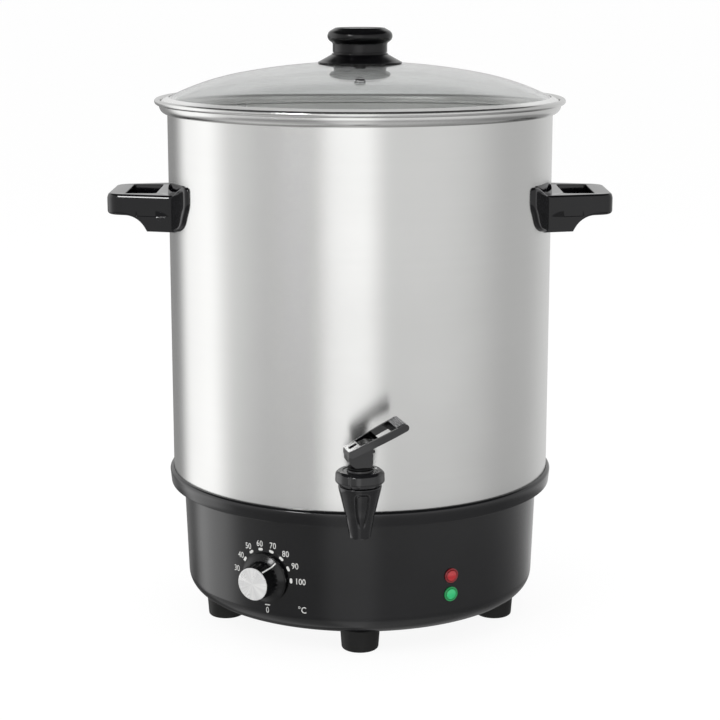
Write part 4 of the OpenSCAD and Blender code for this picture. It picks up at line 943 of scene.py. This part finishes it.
def bevelled_copy(name, node, width, segments, material, body, angle=28):
    """The node's mesh, merged and dissolved to flat faces, with its edges rounded."""
    mesh = frame["nodes"][node].data.copy()
    mesh.name = name
    mesh.materials.clear()
    bm = bmesh.new()
    bm.from_mesh(mesh)
    bmesh.ops.remove_doubles(bm, verts=bm.verts, dist=COPY_MERGE)
    bmesh.ops.dissolve_limit(bm, angle_limit=math.radians(FLAT_ANGLE), verts=bm.verts, edges=bm.edges)
    bm.to_mesh(mesh)
    bm.free()
    made = finished(name, mesh, material, body, [node], sharp=35)
    bevel = made.modifiers.new("edges", "BEVEL")
    bevel.width = width * MM
    bevel.segments = segments
    bevel.limit_method = "ANGLE"
    bevel.angle_limit = math.radians(angle)
    bevel.harden_normals = True
    return made


bevelled_copy("lever", "tap_lever", 0.7, 3, tap_gloss, "lever")
bevelled_copy("swivel_ring", "tap_swivel", 0.3, 2, recess_black, "swivel")

# %% Ribbed pad
PIN_Z, LEVER_SWING, LEVER_SLOPE, ARM_RISE = 194.3, math.radians(15.0), math.radians(25.5), 12.3
PAD_START, PAD_END, PAD_HALF = 27.2, 34.2, 12.6
PAD_SKIN, PAD_SUNK, RIB_HEIGHT, RIB_POWER = 0.05, -0.4, 0.75, 1.6


def pad_grid(ribs=3, rows=9):
    """A section (distance up the arm, height) carried straight across the lever. Its ribs are the
    absolute value of a sine, raised to a power that rounds the valleys between them."""
    long = (PAD_END - PAD_START) / math.cos(LEVER_SLOPE)
    s = np.linspace(0, long, ribs * 12 + 1)
    ridge = PAD_SKIN + RIB_HEIGHT * np.abs(np.sin(np.pi * s * ribs / long)) ** RIB_POWER
    section = np.vstack([np.stack([s, ridge], -1), [(long, PAD_SUNK), (0, PAD_SUNK)]])
    across = np.linspace(-PAD_HALF, PAD_HALF, rows)[:, None]
    return capped(np.stack(np.broadcast_arrays(section[:, 0], across, section[:, 1]), -1))


ahead = np.array([math.cos(LEVER_SWING), math.sin(LEVER_SWING), 0])
side = np.array([-math.sin(LEVER_SWING), math.cos(LEVER_SWING), 0])
up = np.array([0, 0, 1.0])
pad_place = (np.array([0, TAP_Y, PIN_Z]) + ahead * PAD_START
             + up * (ARM_RISE + PAD_START * math.tan(LEVER_SLOPE)))
along_arm = ahead * math.cos(LEVER_SLOPE) + up * math.sin(LEVER_SLOPE)
off_arm = up * math.cos(LEVER_SLOPE) - ahead * math.sin(LEVER_SLOPE)
piece("lever_pad", [(placed(pad_grid(), pad_place, along_arm, side, off_arm), False, True)], pad_grey,
      "lever", (), sharp=50)

# %% [markdown]
# ## The spring in the tap
# The spring stands on the valve's cup and pushes against the bonnet. When the lever lifts the stem, the
# spring has to get shorter, and a rigid piece can't. So the wire is a new mesh, with mesh data of its own
# that nothing else shares. Its end coils lie flat, as on a real spring.

# %% Coil spring
WIRE_R, COIL_R, COIL_TURNS, DEAD_TURN = 0.7, 6.4, 6, 0.6
SPRING_LOW, SPRING_TOP, STEM_LIFT = 157.0, 178.9, 3.1


def spring_grid(steps=40, sides=16):
    """A round wire along a helix: its angle grows evenly, its height only between the end coils."""
    turns = np.linspace(0, COIL_TURNS, COIL_TURNS * steps + 1)[:, None]
    share = np.clip((turns - DEAD_TURN) / (COIL_TURNS - 2 * DEAD_TURN), 0, 1)
    z = SPRING_LOW + WIRE_R + (SPRING_TOP - SPRING_LOW - 2 * WIRE_R) * share
    a, b = 2 * np.pi * turns, np.linspace(0, 2 * np.pi, sides, endpoint=False)
    r = COIL_R + WIRE_R * np.cos(b)
    return capped(np.stack([r * np.cos(a), r * np.sin(a) + TAP_Y, z + WIRE_R * np.sin(b)], -1))


spring = piece("coil_spring", [(spring_grid(), False, True)], chrome, "boiler", ["tap_spring"],
               sharp=50)
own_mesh(spring)

# %% [markdown]
# ## The dial
# The knob is a low cone with a ribbed grip. Its radius is a function of the angle: a rounded groove 24
# times around. Marks and numbers are printed on the housing's wall, which is a leaning cone, so each
# flat mark is wrapped: its width runs around the cone and its height up the leaning side.

# %% Frames on the wall
DIAL_TURN, DIAL_Z = -30.6, 67.0


def wall_axes(turn, z, out=0.0):
    """Origin and axes of a frame on the housing's side: Z square to the wall and Y up along it."""
    a = math.radians(turn)
    spin = np.array([[math.cos(a), math.sin(a), 0], [-math.sin(a), math.cos(a), 0], [0, 0, 1]])
    x, y, w = np.array([[1, 0, 0], [0, -math.sin(LEAN), math.cos(LEAN)],
                        [0, -math.cos(LEAN), -math.sin(LEAN)]]) @ spin
    origin = np.array([0, -house_r(z), z]) @ spin + w * out
    return origin, x, y, w


dial_place, *dial_axes = wall_axes(DIAL_TURN, DIAL_Z, 0.3)
print("dial at", np.round(dial_place, 1), "mm")


# %% [markdown]
# ## Finishes about an axis of their own
# The dial's silver cap is turned on a lathe, so its shine runs out from its middle; its light and dark
# wedges are a painted sheen in its colour. A lamp's lens is clear coloured plastic over a pale holder,
# darker at its rim, where light has a long way through it.
# A Layer Weight could darken the rim, but that looks different from each side. So a Mapping node
# carries the point into the piece's own frame, and the pattern follows the angle or the distance there.

# %% Turned and lens finishes
# The cap's two colours are the darkest and the lightest wedge of a painted sheen
CAP_LINES, CAP_PAINTED_SHADE, CAP_PAINTED_SHEEN = (13.0, 13.0, 13.0), (0.72, 0.72, 0.72), (0.98, 0.98, 0.97)
LENS_RIM_START, LENS_RIM_END = 0.0040, 0.0048


def in_frame(tree, place, origin, axes):
    """The point measured from origin along the axes, with its height above the wall set to 0."""
    turn = Matrix([[float(v) for v in axis] for axis in axes]).transposed().to_euler()
    own = add(tree, "ShaderNodeMapping", {"Vector": place, "Location": [v * MM for v in origin],
                                          "Rotation": turn}, vector_type="TEXTURE")
    return add(tree, "ShaderNodeVectorMath", {0: own.outputs[0], 1: (1, 1, 0)},
               operation="MULTIPLY").outputs[0]


def spun_finish(name, origin, axes):
    """Metal turned on a lathe: its grain and its painted sheen of light and dark wedges follow the angle
    only.
    """
    made, tree, principled, place = start_finish(name, Metallic=0.45)
    flat = in_frame(tree, place, origin, axes)
    unit = add(tree, "ShaderNodeVectorMath", {0: flat}, operation="NORMALIZE").outputs[0]
    grain = use(tree, grain_group, unit, Scale=CAP_LINES)
    # Painted sheen: the grain's tone, spread by angle, makes light and dark wedges about the cap's middle
    spread = add(tree, "ShaderNodeMapRange", {"Value": grain.outputs["Tone"], "From Min": 0.36,
                                              "From Max": 0.64})
    colour_by(tree, principled, spread.outputs[0], CAP_PAINTED_SHADE, CAP_PAINTED_SHEEN)
    shine_by(tree, principled, place, 90.0, (0.26, 0.36))
    raise_by(tree, principled, grain.outputs["Height"], 0.02, GRAIN_DEPTH)
    return made


def lens_finish(name, middle, rim, origin, axes):
    """Coloured clear plastic that darkens with the distance from its axis, where its rim starts."""
    made, tree, principled, place = start_finish(name, Coat_Weight=0.6, Coat_Roughness=0.08)
    flat = in_frame(tree, place, origin, axes)
    far = add(tree, "ShaderNodeVectorMath", {0: flat}, operation="LENGTH").outputs["Value"]
    edge = add(tree, "ShaderNodeMapRange", {"Value": far, "From Min": LENS_RIM_START,
                                            "From Max": LENS_RIM_END})
    skin = use(tree, skin_group, place, Peel=500.0)
    colour_by(tree, principled, edge.outputs[0], middle, rim)
    shine_by(tree, principled, place, 300.0, (0.1, 0.2))
    raise_by(tree, principled, skin.outputs["Height"], 0.05, SKIN_DEPTH)
    return made


print("a lens is darkest", round(LENS_RIM_END / MM, 2), "mm from its axis")

# %% Dial knob
GRIP_LOW_R, GRIP_HIGH_R, DIAL_H, CAP_T, SLOPE_H = 16.0, 14.9, 20.3, 1.0, 5.2
FLUTES, FLUTE_DEPTH, POINTER_ANGLE = 24, 0.95, math.radians(40)


def dial_grid(turns=480):
    """Skirt, slope and grip of the knob; the grip's radius dips where cos(24 a) is near one."""
    top = DIAL_H - CAP_T
    grip = line((GRIP_LOW_R, SLOPE_H), (GRIP_HIGH_R, top - 0.7), 12)
    section = outline((3.05, 0), (21.6, 0), arc(21.5, 0.5, 0.5, -90, 0, 4), arc(21.3, 1.9, 0.7, 0, 75, 6),
                      line((21.2, 2.62), (17.2, SLOPE_H - 0.5), 6), (GRIP_LOW_R + 0.35, SLOPE_H - 0.15),
                      grip, arc(GRIP_HIGH_R - 0.7, top - 0.7, 0.7, 0, 90, 5), (3.05, top))
    grid = turned_about(section, turns)
    a, r = np.arctan2(grid[..., 0], grid[..., 1]), np.hypot(grid[..., 0], grid[..., 1])
    dip = np.clip(np.cos(FLUTES * (a - POINTER_ANGLE) + math.pi), -0.2, 1)
    ribbed = np.clip((section[:, 1] - SLOPE_H) / 0.8, 0, 1) * np.clip((section[:, 0] - 13.6) / 0.8, 0, 1)
    return sunk(grid, r, FLUTE_DEPTH * (dip + 0.2) * ribbed)


cap_silver = spun_finish("cap_silver", dial_place, dial_axes)
piece("dial_grip", [(placed(dial_grid(), dial_place, *dial_axes), True, True)], dial_black, "dial",
      ["dial_knob"])
cap_section = outline((0, DIAL_H - CAP_T), (14.4, DIAL_H - CAP_T), arc(14.0, DIAL_H - 0.4, 0.4, 0, 90, 5),
                      line((13.6, DIAL_H), (0, DIAL_H), 8))
cap = placed(turned_about(cap_section, 128), dial_place, *dial_axes)
piece("dial_disc", [(cap, True, True)], cap_silver, "dial", ["dial_cap"])

# %% [markdown]
# ## Printed scale
# Digits come from Blender's own font, made into a mesh, squeezed a little, and wrapped on the wall. The
# ticks are short bars with round ends. A texture could carry them, but print that has a real, if tiny,
# thickness stays sharp at any distance and is part of the mesh.

# %% Words as a mesh
PRINT_HALF, TEXT_EXTRUDE = 0.03, 0.01


def text_mesh(words, height, squeeze):
    """Points and faces of the words, centred, with the given height in mm."""
    curve = bpy.data.curves.new("words", "FONT")
    curve.body, curve.align_x, curve.align_y = words, "CENTER", "CENTER"
    curve.extrude, curve.resolution_u = TEXT_EXTRUDE, 3
    holder = bpy.data.objects.new("words", curve)
    bpy.context.scene.collection.objects.link(holder)
    mesh = bpy.data.meshes.new_from_object(holder.evaluated_get(bpy.context.evaluated_depsgraph_get()))
    points = np.empty(len(mesh.vertices) * 3)
    mesh.vertices.foreach_get("co", points)
    points = points.reshape(-1, 3)
    faces = [list(p.vertices) for p in mesh.polygons]
    low, high = points.min(0), points.max(0)
    layer = points[:, 2] / TEXT_EXTRUDE * PRINT_HALF
    points = (points - (low + high) / 2) * (height / (high[1] - low[1])) * [squeeze, 1, 0]
    points[:, 2] = layer
    bpy.data.objects.remove(holder)
    bpy.data.meshes.remove(mesh)
    return points, faces


print("the print stands", 2 * PRINT_HALF, "mm thick")


# %% Ticks
def bar_mesh(length, width):
    """A tick: a small bar with round ends, as one ring of points below and one above."""
    half, r = length / 2 - width / 2, width / 2
    ring = np.vstack([arc(half, 0, r, -90, 90, 8), arc(-half, 0, r, 90, 270, 8)])
    n = len(ring)
    i, after = np.arange(n), (np.arange(n) + 1) % n
    points = np.vstack([np.c_[ring, np.full(n, -PRINT_HALF)], np.c_[ring, np.full(n, PRINT_HALF)]])
    sides = np.stack([i, after, n + after, n + i], -1).tolist()
    return points, sides + [i[::-1].tolist(), (n + i).tolist()]


def moved_round(points, r, angle):
    """Points moved, upright as they are, to a distance and a clockwise angle from the dial's top."""
    a = math.radians(angle)
    return points + [r * math.sin(a), r * math.cos(a), 0]


def turned_flat(points, angle):
    """Points turned clockwise in their plane by an angle in degrees."""
    a = math.radians(-angle)
    turn = np.array([[math.cos(a), math.sin(a), 0], [-math.sin(a), math.cos(a), 0], [0, 0, 1]])
    return points @ turn


print("a tick:", len(bar_mesh(4.6, 2.4)[0]), "points")

# %% Scale on the wall
# Number, distance from the dial's middle in mm, and clockwise angle from the top in degrees
NUMBERS = [("30", 31.7, -85.6), ("40", 30.7, -59.3), ("50", 30.8, -34.5), ("60", 30.2, -9.6),
           ("70", 30.8, 15.8), ("80", 31.5, 40.6), ("90", 32.2, 64.4), ("100", 34.1, 89.5),
           ("0", 29.7, 177.9)]
UNIT, UNIT_R, UNIT_ANGLE = "°C", 42.8, 125.9
NUMBER_H, UNIT_H, TICK_R, OFF_ANGLE = 5.4, 5.9, 25.0, 177


def scale_parts():
    """Every mark as (points, faces), laid out flat around the dial's centre."""
    for words, r, angle in NUMBERS:
        points, faces = text_mesh(words, NUMBER_H, 0.86)
        yield moved_round(points, r, angle), faces
    for _, _, angle in NUMBERS[1:-1]:
        points, faces = bar_mesh(4.6, 2.4)
        yield turned_flat(points + [0, TICK_R, 0], angle), faces
    points, faces = bar_mesh(5.4, 1.0)
    yield turned_flat(points + [0, TICK_R, 0], OFF_ANGLE), faces
    points, faces = text_mesh(UNIT, UNIT_H, 0.9)
    yield moved_round(points, UNIT_R, UNIT_ANGLE), faces


def wrapped(points, turn, z, out):
    """Flat points (x, y, h) laid on the cone around (turn, z): x around it, y up it, h out of it."""
    height = z + points[:, 1] * math.cos(LEAN)
    r = house_r(height)
    a = math.radians(turn) + points[:, 0] / r
    r = r + (out + points[:, 2]) * math.cos(LEAN)
    return np.stack([r * np.sin(a), -r * np.cos(a), height - (out + points[:, 2]) * math.sin(LEAN)], -1)


scale_points, scale_faces, first = [], [], 0
for points, faces in scale_parts():
    scale_points.append(wrapped(points, DIAL_TURN, DIAL_Z, 0.05))
    scale_faces += [[i + first for i in face] for face in faces]
    first += len(points)
print_mesh = bpy.data.meshes.new("dial_print")
print_mesh.from_pydata((np.vstack(scale_points) * MM).tolist(), [], scale_faces)
finished("dial_print", print_mesh, print_white, "boiler", (), sharp=30)

# %% [markdown]
# ## The indicator lamps
# Two small lenses sit one above the other: a flat flange on the wall, a narrow groove, and a low crown
# that catches one point of light. Two half spheres would be quicker, but the groove is what sets a lens
# off from the wall. Both share one section, and only the height and the colours differ.

# %% Lamp lenses
LAMP_TURN, CROWN_R = 29.3, 4.4
# Height on the wall in mm, colour in the middle, colour at the rim
LENSES = {"red": (69.2, (0.44, 0.012, 0.018), (0.20, 0.005, 0.009)),
          "green": (52.5, (0.016, 0.50, 0.17), (0.006, 0.26, 0.07))}

crown = np.linspace(CROWN_R, 0, 10)
lens_section = outline((0, 0.1), (6.5, 0.1), arc(6.1, 1.0, 0.4, 0, 90, 5), arc(5.5, 0.9, 0.5, 90, 200, 6),
                       (5.0, 0.75), line((4.8, 1.2), (4.6, 1.5), 2),
                       np.stack([crown, 1.65 + 0.75 * (1 - (crown / CROWN_R) ** 2)], -1))
for colour, (z, middle, rim) in LENSES.items():
    lamp_place, *lamp_axes = wall_axes(LAMP_TURN, z)
    finish = lens_finish(f"lamp_{colour}", middle, rim, lamp_place, lamp_axes)
    lens = placed(turned_about(lens_section, 96), lamp_place, *lamp_axes)
    piece(f"{colour}_lens", [(lens, True, True)], finish, "boiler", [f"{colour}_lamp_lens"])

# %% [markdown]
# ## Finishes of the CAD parts that stay
# Parts inside, behind and underneath keep their CAD shape, because finer meshes there would hardly be
# seen. A finish could be set part by part; the record already names a material slot for each part, so
# one table from slot to finish dresses them all.

# %% Dress the nodes
NODE_FINISH = {
    "sheet_steel": sheet_steel, "aluminium": aluminium, "element": element_steel, "cutout": cutout_tan,
    "copper": copper, "switch_white": switch_white, "block_ivory": block_ivory, "wire": wire_sleeve,
    "black_plastic": part_black, "lamp_grey": lamp_grey, "tap_black": tap_gloss, "rubber": rubber,
    "cup_rubber": cup_rubber, "chrome": chrome, "screw_steel": screw_steel, "print_white": print_white}

slots_of = {part["node"]: part["material_slot"] for part in frame["record"]["subparts"]}
for name, node in frame["nodes"].items():
    if node.hide_render:
        continue
    finish = NODE_FINISH[slots_of[name]]
    if not node.material_slots:
        node.data.materials.append(finish)
    for held in node.material_slots:
        held.material = finish
print("dressed", sum(not n.hide_render for n in frame["nodes"].values()), "nodes")


# %% [markdown]
# ## Table
# The table is a plain pale plane. It glows white for the camera and through the glass, so that the
# ground has no edge, and a part of the shader stays dull to take the soft shadow. Mirrors don't see it:
# the lower half of the room stands in for it there, where its tone can be set for each direction.

# %% Table
TABLE_HALF, GLOW_SHARE, GLOW_STRENGTH = 40, 0.88, 1.035


def table_finish():
    """Dull white for light and shadow, mixed with a white glow where the camera or the glass looks."""
    made, tree, principled, _ = start_finish("table_white", Base_Color=(0.92, 0.92, 0.92, 1),
                                             Roughness=0.7, Specular_IOR_Level=0.1)
    path = tree.nodes.new("ShaderNodeLightPath")
    seen = add(tree, "ShaderNodeMath", {0: path.outputs["Is Camera Ray"],
                                        1: path.outputs["Is Transmission Ray"]}, operation="MAXIMUM")
    share = add(tree, "ShaderNodeMath", {0: seen.outputs[0], 1: GLOW_SHARE}, operation="MULTIPLY")
    glow = add(tree, "ShaderNodeEmission", {"Color": (1, 1, 1, 1), "Strength": GLOW_STRENGTH})
    swap_shader(tree, share.outputs[0], principled.outputs[0], glow.outputs[0])
    return made


table_mesh = bpy.data.meshes.new("table")
corners = np.array([(-1, -1, 0), (1, -1, 0), (1, 1, 0), (-1, 1, 0)]) * TABLE_HALF
table_mesh.from_pydata(corners.tolist(), [], [(0, 1, 2, 3)])
table_mesh.materials.append(table_finish())
table = bpy.data.objects.new("table", table_mesh)
bpy.context.scene.collection.objects.link(table)
table.visible_glossy = False
print("table:", 2 * TABLE_HALF, "m wide")


# %% [markdown]
# ## The room in the mirrors
# Steel and glass look like what they mirror, so the room matters more than the lamps. It is plain and
# pale, and soft boxes lighten or darken a width of it: a strong one behind the camera, weak ones at
# either side of it, the brightest one at the left and behind, and a darker wall at the right. It is dark
# straight behind the boiler and overhead. Below, the table's image darkens near the object. One small
# strong strip, high at the left, draws the white line on the left handle's front. Pictures of a real
# studio would do the same, but every box here has a number that can be changed.

# %% Soft box
def make_softbox():
    """Strength inside Half degrees of a compass direction, falling to 0 at Edge: a tall soft box."""
    tree, inlet, outlet = new_group("softbox", [("Vector", None), ("Towards", (0.0, -1.0, 0.0)),
                                                ("Half", 10.0), ("Edge", 20.0), ("Strength", 1.0)],
                                    ["Value"])
    level = add(tree, "ShaderNodeVectorMath", {0: inlet.outputs["Vector"], 1: (1.0, 1.0, 0.0)},
                operation="MULTIPLY")
    unit = add(tree, "ShaderNodeVectorMath", {0: level.outputs[0]}, operation="NORMALIZE")
    near = add(tree, "ShaderNodeVectorMath", {0: unit.outputs[0], 1: inlet.outputs["Towards"]},
               operation="DOT_PRODUCT")
    angle = add(tree, "ShaderNodeMath", {0: near.outputs["Value"]}, operation="ARCCOSINE")
    degrees = add(tree, "ShaderNodeMath", {0: angle.outputs[0]}, operation="DEGREES")
    fall = add(tree, "ShaderNodeMapRange", {"Value": degrees.outputs[0], "From Min": inlet.outputs["Half"],
                                            "From Max": inlet.outputs["Edge"],
                                            "To Min": inlet.outputs["Strength"], "To Max": 0.0},
               interpolation_type="SMOOTHSTEP")
    tree.links.new(fall.outputs[0], outlet.inputs["Value"])
    return tree


softbox_group = make_softbox()
print("soft box:", len(softbox_group.nodes), "nodes")

# %% Room's nodes
world = bpy.data.worlds.new("room")
bpy.context.scene.world = world
world.use_nodes = True
room = world.node_tree
room.nodes.clear()
direction = room.nodes.new("ShaderNodeTexCoord").outputs["Generated"]
height = add(room, "ShaderNodeSeparateXYZ", {0: direction}).outputs["Z"]


def softbox(azimuth, half, edge, strength):
    """Output of a soft box at a compass direction in degrees from the front."""
    a = math.radians(azimuth)
    box = use(room, softbox_group, direction, Towards=(math.sin(a), -math.cos(a), 0), Half=half,
              Edge=edge, Strength=strength)
    return box.outputs[0]


def combine(operation, first, second):
    """One Math node on two sockets or numbers."""
    return add(room, "ShaderNodeMath", {0: first, 1: second}, operation=operation).outputs[0]


def step_in_height(start, end, low, high):
    """A soft step from low to high as the direction's height passes from start to end."""
    return add(room, "ShaderNodeMapRange", {"Value": height, "From Min": start, "From Max": end,
                                            "To Min": low, "To Max": high},
               interpolation_type="SMOOTHSTEP").outputs[0]


print("the room is set by direction and by height")

# %% Room
ROOM_LEVEL, AMBIENT = 0.72, 0.75
# Direction from the front in degrees, half width, edge, strength
SOFTBOXES = [(-88, 6, 34, 0.16), (-6, 8, 24, 0.61), (34, 8, 58, 0.17), (108, 6, 40, -0.13)]
LEFT_BOX, DARK_BEHIND, GLINT = (-112, 9, 34, 0.57), (-158, 18, 34, 0.42), (-38.4, 5, 8, 24.0)

# Level walls with their boxes, and the dark behind, which ends at the table's edge
walls = ROOM_LEVEL
for box in SOFTBOXES:
    walls = combine("ADD", softbox(*box), walls)
behind = combine("MULTIPLY", softbox(*DARK_BEHIND), step_in_height(-0.02, 0.04, 1.0, 0.0))
walls = combine("SUBTRACT", walls, behind)

# The table's image: darker near the object, a little lighter again straight down
near_object = step_in_height(-0.355, -0.30, 0.42, 1.0)
straight_down = step_in_height(-0.75, -0.55, 0.65, 0.0)
walls = combine("MULTIPLY", walls, combine("MAXIMUM", near_object, straight_down))

# The left box shines on the table as well, brightest where the base mirrors it
left = combine("MULTIPLY", softbox(*LEFT_BOX), step_in_height(-0.46, -0.43, 0.2, 1.0))
left = combine("MULTIPLY", left, step_in_height(-0.32, -0.285, 1.7, 1.0))
walls = combine("ADD", walls, left)

# The dark ceiling, and the strip that the left handle mirrors
mirrored = combine("MULTIPLY", walls, step_in_height(0.42, 0.60, 1.0, 0.06))
strip = combine("MULTIPLY", step_in_height(0.34, 0.36, 0.0, 1.0), step_in_height(0.44, 0.46, 1.0, 0.0))
mirrored = combine("ADD", mirrored, combine("MULTIPLY", softbox(*GLINT), strip))
print("room level", ROOM_LEVEL, "with", len(SOFTBOXES) + 3, "boxes")

# %% What each ray sees
path = room.nodes.new("ShaderNodeLightPath")
# Light for dull surfaces, then what mirrors see, then white for the camera and through the glass
glossy = add(room, "ShaderNodeMix", {0: path.outputs["Is Glossy Ray"], 2: AMBIENT, 3: mirrored})
white = combine("MAXIMUM", path.outputs["Is Camera Ray"], path.outputs["Is Transmission Ray"])
strength = add(room, "ShaderNodeMix", {0: white, 2: glossy.outputs[0], 3: 1.0})
background = add(room, "ShaderNodeBackground", {"Color": (1, 1, 1, 1), "Strength": strength.outputs[0]})
output = room.nodes.new("ShaderNodeOutputWorld")
room.links.new(background.outputs[0], output.inputs[0])
print("ambient light", AMBIENT)

# %% [markdown]
# ## Studio lamps
# Three large soft lamps give the boiler its shadow on the table. Mirrors don't see them, because the
# room has its own boxes for that; a lamp seen twice would burn white spots into the steel.

# %% Studio lamps
AIM = (0, 0, 0.2)


def area_lamp(name, place, size, power):
    """A soft square lamp that points from its place at the boiler."""
    data = bpy.data.lights.new(name, "AREA")
    data.shape, data.size, data.energy = "SQUARE", size, power
    lamp = bpy.data.objects.new(name, data)
    bpy.context.scene.collection.objects.link(lamp)
    lamp.location = place
    lamp.rotation_mode = "QUATERNION"
    lamp.rotation_quaternion = (Vector(AIM) - Vector(place)).to_track_quat("-Z", "Y")
    lamp.visible_glossy = False
    print(name, "lamp:", power, "W")


area_lamp("key", (-1.2, -1.4, 1.7), 1.2, 16)
area_lamp("fill", (1.5, -1.3, 1.2), 1.4, 8)
area_lamp("top", (0, 0.3, 2.4), 1.6, 12)
